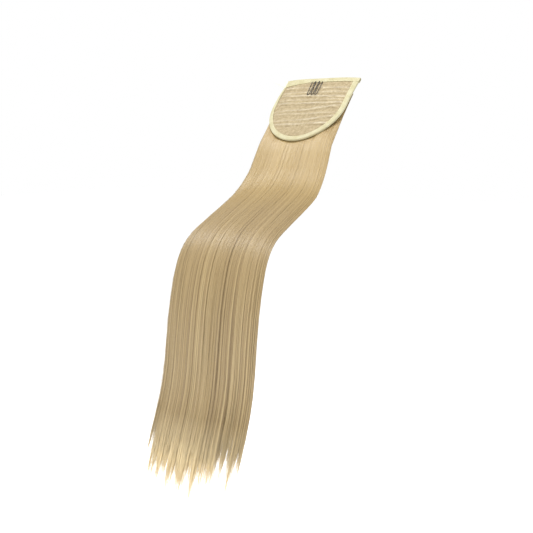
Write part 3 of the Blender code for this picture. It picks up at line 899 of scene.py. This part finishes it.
def gather_across(settings, t, station, share, middle, lock_middle, tight):
    """t along each strand: drawn to its locklet, then to its feather and its lock at the tips."""
    width = settings.locklet / (HAIR_WIDTH / 2)
    group = np.floor(t / width + 0.35 * smooth_noise(t, 0.11, settings.seed))
    centre = (group + 0.5) * width
    pull = 0.05 + 0.15 * np.clip(station, 0, 1) ** 2
    across = t[:, None] + (centre - t)[:, None] * pull
    across += (middle[:, None] - across) * tight * share**2.6
    across += (lock_middle[:, None] - middle[:, None]) * 0.5 * share**3
    return np.clip(across, -0.998, 0.998), group


def strand_tones(settings, t, group, side, rng):
    """How far strands are off the middle tone: in bands, locklets, fine streaks and singly."""
    broad = smooth_noise(t, 0.5, settings.seed + 3, 1)
    locklets = smooth_noise(group * 1.7 + 40 * side, 1.0, settings.seed + 9, 1)
    fine = smooth_noise(t + 7 * side, 0.0065, settings.seed + 4, 1)
    wider = smooth_noise(t + 5 * side, 0.024, settings.seed + 6, 1)
    return 0.04 * broad + 0.03 * locklets + 0.40 * fine + 0.06 * wider + 0.05 * rng.normal(size=t.shape)


def strand_paths(settings, t, depth, start, rng, steps):
    """Paths of strands at t across and depth through the hair, from start on, with attributes."""
    _, lock_middles, _, drifts = lock_layout()
    lock, middle, reach, last = strand_ends(settings, t, rng)
    end = length_of(last)
    s = even_steps(start, end, steps)
    station = station_of(s)
    share = np.clip((station - LOCK_SPLIT) / (reach - LOCK_SPLIT)[:, None], 0, 1)
    down = (s - start[:, None]) / (end - start)[:, None]
    tight = rng.uniform(0.35, 0.95, t.shape)[:, None]
    across, group = gather_across(settings, t, station, share, middle, lock_middles[lock], tight)
    x, s, n = hair_place(across, s, depth[:, None] * (1 - 0.6 * share**3))
    x = x + drifts[lock][:, None] * HAIR_WIDTH * share**3

    side = np.where(depth >= 0, 1, -1)
    phase = rng.uniform(0, 2 * np.pi, (2, len(t), 1))
    wave = rng.uniform(0.25, 0.8, (2, len(t), 1))
    size = rng.uniform(0.2, 1.0, (2, len(t), 1)) * settings.wander * np.clip(down * 2.5, 0, 1)
    x = x + size[0] * np.sin(s / wave[0] * 2 * np.pi + phase[0])
    relief = settings.relief * (0.5 - 0.5 * smooth_noise(group, 1.0, settings.seed + 5, 1))
    loosened = np.clip(0.35 + 1.1 * station, 0.2, 1)
    sunk = 0.0004 + 0.0004 * np.clip(1 - (s - BASE_LENGTH) / 0.02, 0, 1)
    sunk = sunk + (relief + rng.uniform(0, 0.0005, t.shape))[:, None] * loosened
    outer = np.clip(np.abs(depth) * 3 - 1, 0, 1)[:, None]
    n = n - side[:, None] * sunk * outer + 0.4 * size[1] * np.sin(s / wave[1] * 2 * np.pi + phase[1])

    contrast = np.interp(station, *np.array(TONE_CONTRAST).T)
    tone = strand_tones(settings, t, group, side, rng)[:, None] * contrast + 0.55
    taper = np.interp(down, *np.array(STRAND_TAPER).T)
    return world(x, s, n), {
        "width": taper * rng.uniform(0.7, 1.15, t.shape)[:, None],
        "tone": np.clip(tone, 0, 1),
        "along": np.clip((s - BASE_LENGTH) / FREE_LENGTH, 0, 1),
        "strip": np.clip(down, 0, 1),
        "strand": np.repeat(np.arange(len(t))[:, None], s.shape[1], 1),
    }


def sweep_strands(name, settings, t, depth, start, rng, tree, material):
    """One piece of swept strands."""
    steps = settings.inner_steps if name == "hair_inside" else settings.steps
    paths, attributes = strand_paths(settings, t, depth, start, rng, steps)
    inputs = {"Width": settings.strand_width, "Sides": 3, "Material": material}
    inputs.update({"Stray": STRAND_STRAY, "Stray size": STRAND_STRAY_SIZE, "Seed": float(settings.seed)})
    piece = run_tree(name, lines_mesh(name, paths, attributes), tree, inputs)
    strip_uv(piece.data, 3, 4, math.ceil(len(t) / 4))
    for label in ("width", "strip", "strand"):
        piece.data.attributes.remove(piece.data.attributes[label])
    return piece


def make_hair_bed(material):
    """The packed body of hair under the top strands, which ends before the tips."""
    ends = length_of(np.array([-0.97, LOCK_SPLIT - 0.05]))
    s = even_steps(ends[:1], ends[1:], 60)[0]
    turns = np.linspace(0, 2 * np.pi, 97)[:-1]
    t = np.sign(np.cos(turns)) * np.abs(np.cos(turns)) ** 0.8
    depth = np.sign(np.sin(turns))
    rings = []
    for place in s:
        fade = np.interp(place, (ends[0], ends[0] + 0.03, ends[1] - 0.12, ends[1]), (0.3, 1, 1, 0.06))
        x, _, n = hair_place(t * 0.985, place, depth)
        _, _, middle = hair_place(t * 0.985, place, depth * 0.0)
        shrink = np.maximum(np.abs(n - middle) - BED_DEPTH, 0) * fade
        packed = np.where(n >= middle, middle + shrink, middle - shrink)
        rings.append(world(x * 0.984, np.full(len(t), place), packed))
    return rings_mesh("hair_bed", rings, material)


def strand_groups(settings, rng):
    """Groups of strands as name, t, depth and start."""
    counts = (settings.front_strands, settings.back_strands, settings.edge_strands)
    front, back, edge = (rng.uniform(-0.985, 0.985, count) for count in counts)
    edge = np.sign(edge) * rng.uniform(0.955, 1.0, len(edge))
    parts = [("hair_front_a", front[::2], 1), ("hair_front_b", front[1::2], 1)]
    parts += [("hair_back_a", back[::2], -1), ("hair_back_b", back[1::2], -1)]
    parts += [("hair_sides", edge, 0)]
    groups = []
    for name, t, side in parts:
        depth = np.full(len(t), float(side)) if side else rng.uniform(-1, 1, len(t))
        groups.append((name, t, depth, root_places(t, depth, rng)))
    inner = rng.uniform(-0.99, 0.99, settings.inner_strands)
    start = length_of(rng.uniform(0.56, 0.72, len(inner)))
    groups.append(("hair_inside", inner, rng.uniform(-0.8, 0.8, len(inner)), start))
    return groups


def flyaway_paths(settings, rng):
    """Loose single hairs that stand a little off the two sides and the front."""
    count = settings.flyaways
    start = length_of(rng.uniform(-0.1, 0.75, count))
    end = np.minimum(start + rng.uniform(0.05, 0.16, count), length_of(0.97))
    s = even_steps(start, end, FLYAWAY_STEPS)
    down = np.linspace(0, 1, FLYAWAY_STEPS + 1)
    side = rng.choice([-1, -1, 1, 0], count)
    t = np.where(side == 0, rng.uniform(-0.9, 0.9, count), side * 0.985)
    x, s, n = hair_place(t[:, None], s, np.where(side == 0, 1, rng.uniform(-0.5, 1, count))[:, None])
    off = rng.uniform(0.0008, 0.0030, count)[:, None] * down**1.5
    path = world(x + side[:, None] * off, s, n + np.where(side == 0, 1, 0.3)[:, None] * off * 0.6)
    ids = np.repeat(np.arange(count)[:, None], len(down), 1)
    tone = np.repeat(rng.uniform(0.5, 1, count)[:, None], len(down), 1)
    attributes = {"tone": tone, "along": np.zeros(ids.shape), "strand": ids}
    attributes["strip"] = np.repeat(down[None], count, 0)
    return path, attributes


class HAIRPIECE_OT_hair(bpy.types.Operator):
    """Makes the fall of hair: a packed bed, six sets of strands and a few flyaways"""

    bl_idname = "hairpiece.hair"
    bl_label = "Hair"

    def execute(self, context):
        settings = context.scene.hairpiece_hair
        rng = np.random.default_rng(settings.seed)
        tree = sweep_tree()
        fibre = hair_material(context.scene.hairpiece_colours)
        pieces = [make_hair_bed(hair_bed_material())]
        for name, t, depth, start in strand_groups(settings, rng):
            pieces.append(sweep_strands(name, settings, t, depth, start, rng, tree, fibre))
        paths, attributes = flyaway_paths(settings, rng)
        inputs = {"Width": FLYAWAY_WIDTH, "Sides": 3, "Material": fibre}
        loose = run_tree("hair_flyaways", lines_mesh("hair_flyaways", paths, attributes), tree, inputs)
        strip_uv(loose.data, 3, 1, settings.flyaways)
        for piece in pieces + [loose]:
            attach(piece, "root")
        for piece in pieces:
            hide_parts("hair_fall")
        return {"FINISHED"}


# Net
def rib_line(x, rib):
    """s of the middle of a rib at x."""
    across = np.array([-HALF_BASE, 0, 0.8 * HALF_BASE])
    return np.interp(x, across, np.array(rib[:3]) * BASE_LENGTH)


def rib_height(x, s):
    """Height of the ribs from 0 to 1, and the strength of the painted shadow band just under each rib, at
    places on the net.
    """
    height = np.zeros(np.broadcast(x, s).shape)
    painted_shadow = np.zeros(height.shape)
    for number, rib in enumerate(RIBS):
        ridge = rib_line(x, rib) + 0.0008 * smooth_noise(x, 0.012, 20 + number)
        ridge = ridge + 0.0003 * smooth_noise(x, 0.003, 40 + number)
        uneven = rib[3] * (0.75 + 0.35 * smooth_noise(x, 0.015, 60 + number))
        off = s - ridge
        lift = np.where(off < 0, np.exp(-((off / 0.0028) ** 2)), np.exp(-((off / 0.0009) ** 2)))
        height = np.maximum(height, uneven * lift)
        painted_shadow = np.maximum(painted_shadow, uneven * np.exp(-(((off - 0.0024) / 0.0010) ** 2)))
    return height, painted_shadow


def net_fade(x, s):
    """1 over the open net and 0 towards and under the tapes."""
    side = (half_width(np.minimum(s, BASE_LENGTH)) - np.abs(x - lean(s))) / TAPE_WIDTH
    foot = (BASE_LENGTH - s) / TAPE_WIDTH
    top = s / TOP_TAPE_WIDTH
    return np.clip(np.minimum(np.minimum(side, foot), top) * 1.6 - 0.9, 0, 1)


def net_surface(x, s, settings):
    """n of the net's inner face."""
    height, _ = rib_height(x, s)
    ripple = 0.00015 * smooth_noise(x + 3 * s, 0.006, 80) * net_fade(x, s)
    return settings.rib_height * height * net_fade(x, s) + ripple


def make_net(settings, material):
    """The net as one closed sheet with its ribs."""
    rows, columns = 150, 121
    v, u = np.meshgrid(np.linspace(0, 1, rows), np.linspace(-1, 1, columns), indexing="ij")
    s = 0.0004 + (BASE_LENGTH - 3 * CLEARANCE) * np.sin(v * np.pi / 2) ** 1.15
    x = lean(s) + u * half_width(s)
    face = net_surface(x, s, settings)
    front = on_base(x, s, face)
    back = on_base(x, s, face - NET_THICKNESS * NET_SHARE)
    points = np.concatenate([front.reshape(-1, 3), back.reshape(-1, 3)])
    inner = grid_faces(rows, columns)
    outer = inner[:, ::-1] + rows * columns
    rim = list(range(columns)) + [r * columns + columns - 1 for r in range(1, rows)]
    rim += [(rows - 1) * columns + k for k in range(columns - 2, -1, -1)]
    rim += [r * columns for r in range(rows - 2, 0, -1)]
    rim = np.array(rim)
    after = np.roll(rim, -1)
    edge = np.stack([rim, rim + rows * columns, after + rows * columns, after], -1)
    # The ridge attribute is painted light: a painted highlight on the ridges, a painted shadow under each
    # rib, and an even middle tone near the tapes.
    height, painted_shadow = rib_height(x, s)
    ridge = np.clip(0.4 + 0.6 * height - 0.4 * painted_shadow, 0, 1) * net_fade(x, s) + 0.4 * (1 - net_fade(x, s))
    values = np.concatenate([ridge.ravel(), ridge.ravel()])
    faces = np.concatenate([inner, outer, edge])[:, ::-1]
    return surface_mesh("net_cloth", points, faces, material, {"ridge": values})


def net_threads(settings):
    """Lines of the net's threads over its inner face, both ways."""
    paths = []
    lift = settings.thread_width * 0.3
    reach = half_width(BASE_LEG)
    for s0 in np.arange(TOP_TAPE_WIDTH, BASE_LENGTH - TAPE_WIDTH, settings.thread_pitch):
        wide = float(half_width(s0)) - 0.003
        x = np.linspace(-wide, wide, 60) + lean(s0)
        s = s0 + 0.0003 * smooth_noise(x, 0.01, 90) + 0.0002 * np.sin(x / 0.0016)
        paths.append(on_base(x, s, net_surface(x, s, settings) + lift))
    for x0 in np.arange(-reach + 0.004, reach - 0.003, settings.thread_pitch):
        down = math.sqrt(max(1 - (x0 / reach) ** 2, 0))
        foot = BASE_LEG + (BASE_LENGTH - BASE_LEG) * down - 0.003
        s = np.linspace(0.003, foot, 110)
        x = x0 + lean(s) + 0.0003 * smooth_noise(s, 0.01, 91)
        inside = np.abs(x - lean(s)) < half_width(s) - 0.002
        paths.append(on_base(x[inside], s[inside], net_surface(x[inside], s[inside], settings) + lift))
    return paths


def weft_stitch_lines(settings):
    """Lines of stitches along the ribs."""
    lines = []
    for rib in RIBS:
        x = np.linspace(-0.048, 0.046, 70)
        s = rib_line(x, rib) - 0.0006
        inside = net_fade(x, s) > 0.6
        x, s = x[inside], s[inside]
        lines.append(on_base(x, s, net_surface(x, s, settings) + 0.0001))
    return lines


class HAIRPIECE_OT_net(bpy.types.Operator):
    """Makes the net: a ribbed sheet, its threads both ways and the stitches along its ribs"""

    bl_idname = "hairpiece.net"
    bl_label = "Net"

    def execute(self, context):
        settings = context.scene.hairpiece_base
        cloth = make_net(settings, net_material(context.scene.hairpiece_colours))
        paths = net_threads(settings)
        ids = np.concatenate([np.full(len(path), i) for i, path in enumerate(paths)])
        strip = np.concatenate([np.linspace(0, 1, len(path)) for path in paths])
        threads = run_tree(
            "net_threads",
            lines_mesh("net_threads", paths, {"strand": ids, "strip": strip}),
            sweep_tree(),
            {
                "Width": settings.thread_width,
                "Sides": 3,
                "Material": thread_material("net_thread", "a39070", "d2c3a2"),
            },
        )
        strip_uv(threads.data, 3, 1, len(paths))
        stitches = run_tree(
            "weft_stitches",
            lines_mesh("weft_stitches", weft_stitch_lines(settings)),
            stitch_tree(),
            {
                "Pitch": WEFT_STITCH_PITCH,
                "Length": WEFT_STITCH_LENGTH,
                "Width": WEFT_STITCH_WIDTH,
                "Material": thread_material("weft_thread", "d9c8a4", "f4ead2"),
            },
        )
        for piece in (cloth, threads, stitches):
            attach(piece, "root")
        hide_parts("cap_net")
        return {"FINISHED"}


# Bindings
def folded_section(front_width, back_width):
    """A tape folded over an edge, as distance inwards from the edge and n, round the fold."""
    inner_back = -NET_THICKNESS - CLEARANCE
    turns = np.linspace(0.5, 1.5, 9) * np.pi
    height = (TAPE_FRONT - TAPE_BACK) / 2
    middle = (TAPE_FRONT + TAPE_BACK) / 2
    bulge = EDGE_WRAP * 0.9
    fold = [(-EDGE_WRAP + bulge + bulge * math.cos(a), middle + height * math.sin(a)) for a in turns]
    steps = np.linspace(front_width, fold[0][0], 7)[:-1]
    front = [(d, TAPE_FRONT - (0.00022 if k == 0 else 0)) for k, d in enumerate(steps)]
    back_steps = np.linspace(fold[-1][0], back_width, 6)[1:]
    back = [(d, TAPE_BACK + (0.0002 if k == 4 else 0)) for k, d in enumerate(back_steps)]
    inside = [(back_width, inner_back), (-CLEARANCE, inner_back), (-CLEARANCE, CLEARANCE)]
    return np.array(front + fold + back + inside + [(front_width, CLEARANCE)])


def edge_line(count):
    """Evenly spaced places round the U from +X to -X: x, s and the unit way inwards."""
    right = np.linspace(TOP_TAPE_WIDTH + CLEARANCE, BASE_LEG, 40)
    left = np.linspace(BASE_LEG, TOP_TAPE_WIDE_END + CLEARANCE, 40)
    turn = np.linspace(0, np.pi, 160)
    wide = HALF_BASE + BASE_BULGE
    x = np.concatenate([half_width(right), wide * np.cos(turn)[1:-1], -half_width(left)])
    s = np.concatenate([right, BASE_LEG + (BASE_LENGTH - BASE_LEG) * np.sin(turn)[1:-1], left])
    x = x + lean(s)
    run = np.concatenate([[0], np.cumsum(np.hypot(np.diff(x), np.diff(s)))])
    even = np.linspace(0, run[-1], count)
    x, s = np.interp(even, run, x), np.interp(even, run, s)
    way = np.stack([np.gradient(x), np.gradient(s)], -1)
    way /= np.linalg.norm(way, axis=1, keepdims=True)
    return x, s, np.stack([-way[:, 1], way[:, 0]], -1), even


def edge_tape_width(share):
    """Front width of the U's tape at a share of the way round."""
    ways, widths = np.array(EDGE_TAPE_WIDTHS).T
    return TAPE_WIDTH * np.interp(share, ways, widths)


def make_edge_tape(settings, material):
    """The tape folded round the U, with a slightly wavy inner edge."""
    x, s, inwards, run = edge_line(230)
    rings = []
    for i in range(len(x)):
        ruffle = settings.pucker * smooth_noise(run[i], 0.005, settings.seed)
        width = float(edge_tape_width(i / (len(x) - 1))) + ruffle
        d, n = folded_section(width, TAPE_BACK_WIDTH).T
        puff = 0.00012 * smooth_noise(run[i] + 0.3 * d, 0.004, settings.seed + 1)
        n = n + np.where(n > 0, puff, 0) * (d > -0.0005)
        rings.append(on_base(x[i] + d * inwards[i, 0], s[i] + d * inwards[i, 1], n))
    return rings_mesh("edge_tape", rings, material)


def top_tape_width(t):
    """Front width of the straight tape at t from 1 at +X to -1 at -X."""
    widening = np.clip((-t - TOP_TAPE_EVEN) / (1 - TOP_TAPE_EVEN), 0, 1)
    return TOP_TAPE_WIDTH + (TOP_TAPE_WIDE_END - TOP_TAPE_WIDTH) * widening


def make_top_tape(settings, material):
    """The tape folded over the straight edge, with the slanting lap beside the comb."""
    rings = []
    outer = HALF_BASE + EDGE_WRAP
    for t in np.linspace(1, -1, 150):
        ruffle = settings.pucker * smooth_noise(t * outer, 0.006, settings.seed + 2)
        d, n = folded_section(float(top_tape_width(t)) + ruffle - 0.0002, TOP_TAPE_WIDTH).T
        slant = t * outer - 0.0015 - 0.35 * d
        lap = 0.00035 / (1 + np.exp(-slant / 0.0003)) - 0.00035
        puff = 0.00010 * smooth_noise(t * outer + 0.4 * d, 0.005, settings.seed + 3)
        n = n + np.where((n > 0) & (d > -0.0005), puff + np.where(d > 0, lap * 0.6, 0), 0)
        rings.append(on_base(t * outer, d, n))
    return rings_mesh("top_tape", rings, material)


def make_tab(material):
    """The pale tab that tapers to a blunt point, slightly rippled."""
    root = -HALF_BASE - EDGE_WRAP
    rings = []
    for reach in np.linspace(-TAB_TUCK, TAB_REACH, 34):
        taper = min(max(reach, 0) / TAB_REACH, 1)
        width = TAB_ROOT_WIDTH + (TAB_TIP_WIDTH - TAB_ROOT_WIDTH) * taper
        crest = 0.0035 * math.sin(math.pi * taper**0.6)
        across = np.linspace(-crest, width, 9)
        rise = TAB_LIFT * max(reach - TAB_FLAT, 0) / (TAB_REACH - TAB_FLAT)
        face = TAPE_BACK - CLEARANCE + rise + 0.0003 * smooth_noise(reach + across, 0.006, 11) * taper
        front = on_base(root - reach, -EDGE_WRAP + across, face - 0.00015)
        back = on_base(root - reach, -EDGE_WRAP + across[::-1], face[::-1] - TAB_THICKNESS)
        rings.append(np.concatenate([front, back]))
    return rings_mesh("corner_tape", rings, material)


def stitch_lines():
    """Lines of stitches on the fronts of both tapes."""
    x, s, inwards, _ = edge_line(160)
    share = np.linspace(0, 1, len(x))
    d = edge_tape_width(share) - 0.0011
    keep = share < 0.86
    x, s = x + d * inwards[:, 0], s + d * inwards[:, 1]
    round_u = on_base(x[keep], s[keep], TAPE_FRONT - 0.00005)
    t = np.linspace(0.97, -0.97, 60)
    x = t * HALF_BASE
    straight = on_base(x, top_tape_width(t) - 0.0012, TAPE_FRONT - 0.0001)
    return [round_u, straight]


class HAIRPIECE_OT_tapes(bpy.types.Operator):
    """Makes the tape round the U, the tape on the straight edge, the corner tab and the stitches"""

    bl_idname = "hairpiece.tapes"
    bl_label = "Tapes"

    def execute(self, context):
        settings = context.scene.hairpiece_base
        colours = context.scene.hairpiece_colours
        cream = tape_material("cream_cotton_tape", colours.tape_dark, colours.tape_light)
        edge = make_edge_tape(settings, cream)
        top = make_top_tape(settings, cream)
        tab = make_tab(tape_material("white_cotton_tape", colours.tab_dark, colours.tab_light))
        stitches = run_tree(
            "tape_stitches",
            lines_mesh("tape_stitches", stitch_lines()),
            stitch_tree(),
            {
                "Pitch": settings.stitch_pitch,
                "Length": settings.stitch_length,
                "Width": settings.stitch_width,
                "Material": thread_material("sewing_thread", "e3d8a8", "f2eac6"),
            },
        )
        for piece, node, slot in (
            (edge, "edge_binding", "tape"),
            (top, "top_binding", "tape"),
            (tab, "corner_tab", "tab"),
            (stitches, None, "tape"),
        ):
            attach(piece, "root")
            if node:
                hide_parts(node)
        run = edge_line(160)[3][-1]
        return {"FINISHED"}


# Comb
def comb_route():
    """Places of the bent wire's centre: x, s and n."""
    bend = (COMB_PITCH - COMB_LEG_PITCH) / 2
    straight = COMB_TOOTH_LENGTH - bend
    start = COMB_OFFSET - COMB_TEETH * COMB_PITCH / 2
    route = []
    for tooth in range(COMB_TEETH):
        left = start + tooth * COMB_PITCH + COMB_LEG_PITCH / 2
        for run in np.linspace(-COMB_TOP, straight, 20):
            route.append((left, COMB_SPINE_S + run, run))
        for turn in np.linspace(0, np.pi, 12)[1:-1]:
            side = left + bend - bend * math.cos(turn)
            route.append((side, COMB_SPINE_S + straight + bend * math.sin(turn), straight))
        for run in np.linspace(straight, -COMB_TOP, 20):
            route.append((left + 2 * bend, COMB_SPINE_S + run, run))
        if tooth < COMB_TEETH - 1:
            for turn in np.linspace(0, np.pi, 7)[1:-1]:
                side = left + 2 * bend + COMB_LEG_PITCH / 2 * (1 - math.cos(turn))
                top = COMB_SPINE_S - COMB_TOP - COMB_LEG_PITCH / 2 * math.sin(turn)
                route.append((side, top, -COMB_TOP))
    x, s, run = np.array(route).T
    tooth = np.clip(np.floor((x - start) / COMB_PITCH), 0, COMB_TEETH - 1)
    middle = start + (tooth + 0.5) * COMB_PITCH
    x = middle + (x - middle) * (1 - 0.32 * (np.maximum(run, 0) / COMB_TOOTH_LENGTH) ** 1.5)
    share = np.clip(run / COMB_TOOTH_LENGTH / 0.5, 0, 1)
    over = TAPE_FRONT + CLEARANCE + COMB_WIRE / 2
    return on_base(x, s, over + (COMB_REST - over) * share * share * (3 - 2 * share))


def lashing_paths():
    """Turns of thread that tie the comb's spine to the net."""
    paths = []
    start = COMB_OFFSET - (COMB_TEETH - 1) * COMB_PITCH / 2
    for k in range(COMB_TEETH):
        for turn in range(LASHING_TURNS):
            x = start + k * COMB_PITCH + (turn - 1) * LASHING_PITCH
            around = np.linspace(-0.15, 1.15, 12) * np.pi
            s = COMB_SPINE_S - 0.0007 * np.cos(around)
            paths.append(on_base(x, s, 0.0002 + 0.0016 * np.maximum(np.sin(around), -0.1)))
    return paths


class HAIRPIECE_OT_comb(bpy.types.Operator):
    """Makes the wire comb, its spine and the thread that lashes it to the net"""

    bl_idname = "hairpiece.comb"
    bl_label = "Comb"

    def execute(self, context):
        reach = COMB_TEETH * COMB_PITCH / 2
        x = np.linspace(COMB_OFFSET - reach, COMB_OFFSET + reach, 5)
        spine = on_base(x, COMB_SPINE_S, TAPE_FRONT + CLEARANCE - COMB_SPINE_SHARE * COMB_WIRE * 0.4)
        enamel = wire_material(context.scene.hairpiece_colours)
        tree = sweep_tree()
        route = comb_route()
        widths = np.concatenate([np.ones(len(route)), np.full(len(spine), COMB_SPINE_SHARE)])
        wire = run_tree(
            "comb_wire",
            lines_mesh("comb_wire", [route, spine], {"width": widths}),
            tree,
            {"Width": COMB_WIRE, "Sides": 12, "Closed ends": True, "Material": enamel},
        )
        lashing = run_tree(
            "comb_lashing",
            lines_mesh("comb_lashing", lashing_paths()),
            tree,
            {
                "Width": LASHING_WIDTH,
                "Sides": 6,
                "Closed ends": True,
                "Material": thread_material("lashing_thread", "c9b58c", "e4d6b0"),
            },
        )
        for piece, slot in ((wire, "wire"), (lashing, "net")):
            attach(piece, "root")
        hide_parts("comb")
        return {"FINISHED"}


# Stage
def view_direction(settings):
    """Unit vector from the object to the camera."""
    turn, lift = settings.azimuth, settings.elevation
    return Vector((math.sin(turn) * math.cos(lift), -math.cos(turn) * math.cos(lift), math.sin(lift)))


def add_area(name, place, target, power, size):
    """An area light that looks at the target."""
    light = bpy.data.lights.new(name, "AREA")
    light.energy = power
    light.size = size
    lamp = bpy.data.objects.new(name, light)
    lamp.location = place
    lamp.rotation_euler = (place - target).to_track_quat("Z", "Y").to_euler()
    bpy.context.scene.collection.objects.link(lamp)


def light_world(settings):
    """A white surround that the camera sees as white and that lights the object more softly."""
    world_data = bpy.data.worlds.new("studio")
    bpy.context.scene.world = world_data
    world_data.use_nodes = True
    tree = world_data.node_tree
    tree.nodes.clear()
    seen = add_node(tree, "ShaderNodeBackground", {"Color": (1, 1, 1, 1), "Strength": 1.0})
    soft = add_node(tree, "ShaderNodeBackground", {"Color": (1, 1, 1, 1), "Strength": settings.ambient})
    path = add_node(tree, "ShaderNodeLightPath")
    mix = add_node(
        tree,
        "ShaderNodeMixShader",
        {0: path.outputs["Is Camera Ray"], 1: soft.outputs[0], 2: seen.outputs[0]},
    )
    add_node(tree, "ShaderNodeOutputWorld", {"Surface": mix.outputs[0]})


class HAIRPIECE_OT_stage(bpy.types.Operator):
    """Sets up the camera at the photo's angle, the soft studio lights and the pale floor"""

    bl_idname = "hairpiece.stage"
    bl_label = "Stage"

    def execute(self, context):
        settings = context.scene.hairpiece_stage
        back = view_direction(settings)
        target = Vector(VIEW_TARGET)
        data = bpy.data.cameras.new("camera")
        data.sensor_width = 36
        data.lens = settings.lens
        camera = bpy.data.objects.new("camera", data)
        camera.location = target + back * settings.distance
        camera.rotation_euler = back.to_track_quat("Z", "Y").to_euler()
        context.scene.collection.objects.link(camera)
        context.scene.camera = camera
        for name, x, y, z, power, size in LIGHTS:
            add_area(name, target + Vector((x, y, z)), target, power * settings.power, size)
        light_world(settings)
        low = min(corner[2] for corner in CAD_BOX)
        mesh = bpy.data.meshes.new("floor")
        corners = [(-6, -6), (6, -6), (6, 6), (-6, 6)]
        mesh.from_pydata([(x, y, low - settings.floor_drop) for x, y in corners], [], [(0, 1, 2, 3)])
        paper, tree, shader = shader_tree("white_paper", 0.9, specular=0.2)
        shader.inputs["Base Color"].default_value = linear("fcfcfc")
        shader.inputs["Emission Color"].default_value = (1, 1, 1, 1)
        shader.inputs["Emission Strength"].default_value = 0.4
        mesh.materials.append(paper)
        link_mesh("floor", mesh)
        context.scene.view_settings.view_transform = "Standard"
        return {"FINISHED"}


class HAIRPIECE_PT_panel(bpy.types.Panel):
    """The hairpiece's sizes and its steps"""

    bl_idname = "HAIRPIECE_PT_panel"
    bl_label = "Hairpiece"
    bl_space_type = "VIEW_3D"
    bl_region_type = "UI"
    bl_category = "Hairpiece"

    def draw(self, context):
        groups = (
            (context.scene.hairpiece_hair, HairSettings, ("hair",)),
            (context.scene.hairpiece_base, BaseSettings, ("net", "tapes", "comb")),
            (context.scene.hairpiece_colours, ColourSettings, ()),
            (context.scene.hairpiece_stage, StageSettings, ("stage",)),
        )
        for group, kind, steps in groups:
            box = self.layout.box()
            for name in kind.__annotations__:
                box.prop(group, name)
            for step in steps:
                box.operator("hairpiece." + step)


CLASSES = (
    HairSettings,
    BaseSettings,
    ColourSettings,
    StageSettings,
    HAIRPIECE_OT_hair,
    HAIRPIECE_OT_net,
    HAIRPIECE_OT_tapes,
    HAIRPIECE_OT_comb,
    HAIRPIECE_OT_stage,
    HAIRPIECE_PT_panel,
)


def register():
    for item in CLASSES:
        bpy.utils.register_class(item)
    bpy.types.Scene.hairpiece_hair = PointerProperty(type=HairSettings)
    bpy.types.Scene.hairpiece_base = PointerProperty(type=BaseSettings)
    bpy.types.Scene.hairpiece_colours = PointerProperty(type=ColourSettings)
    bpy.types.Scene.hairpiece_stage = PointerProperty(type=StageSettings)


def unregister():
    for name in ("hairpiece_hair", "hairpiece_base", "hairpiece_colours", "hairpiece_stage"):
        delattr(bpy.types.Scene, name)
    for item in reversed(CLASSES):
        bpy.utils.unregister_class(item)


def main():
    register()
    for step in ("stage", "net", "tapes", "comb", "hair"):
        getattr(bpy.ops.hairpiece, step)()


if __name__ == "__main__":
    main()
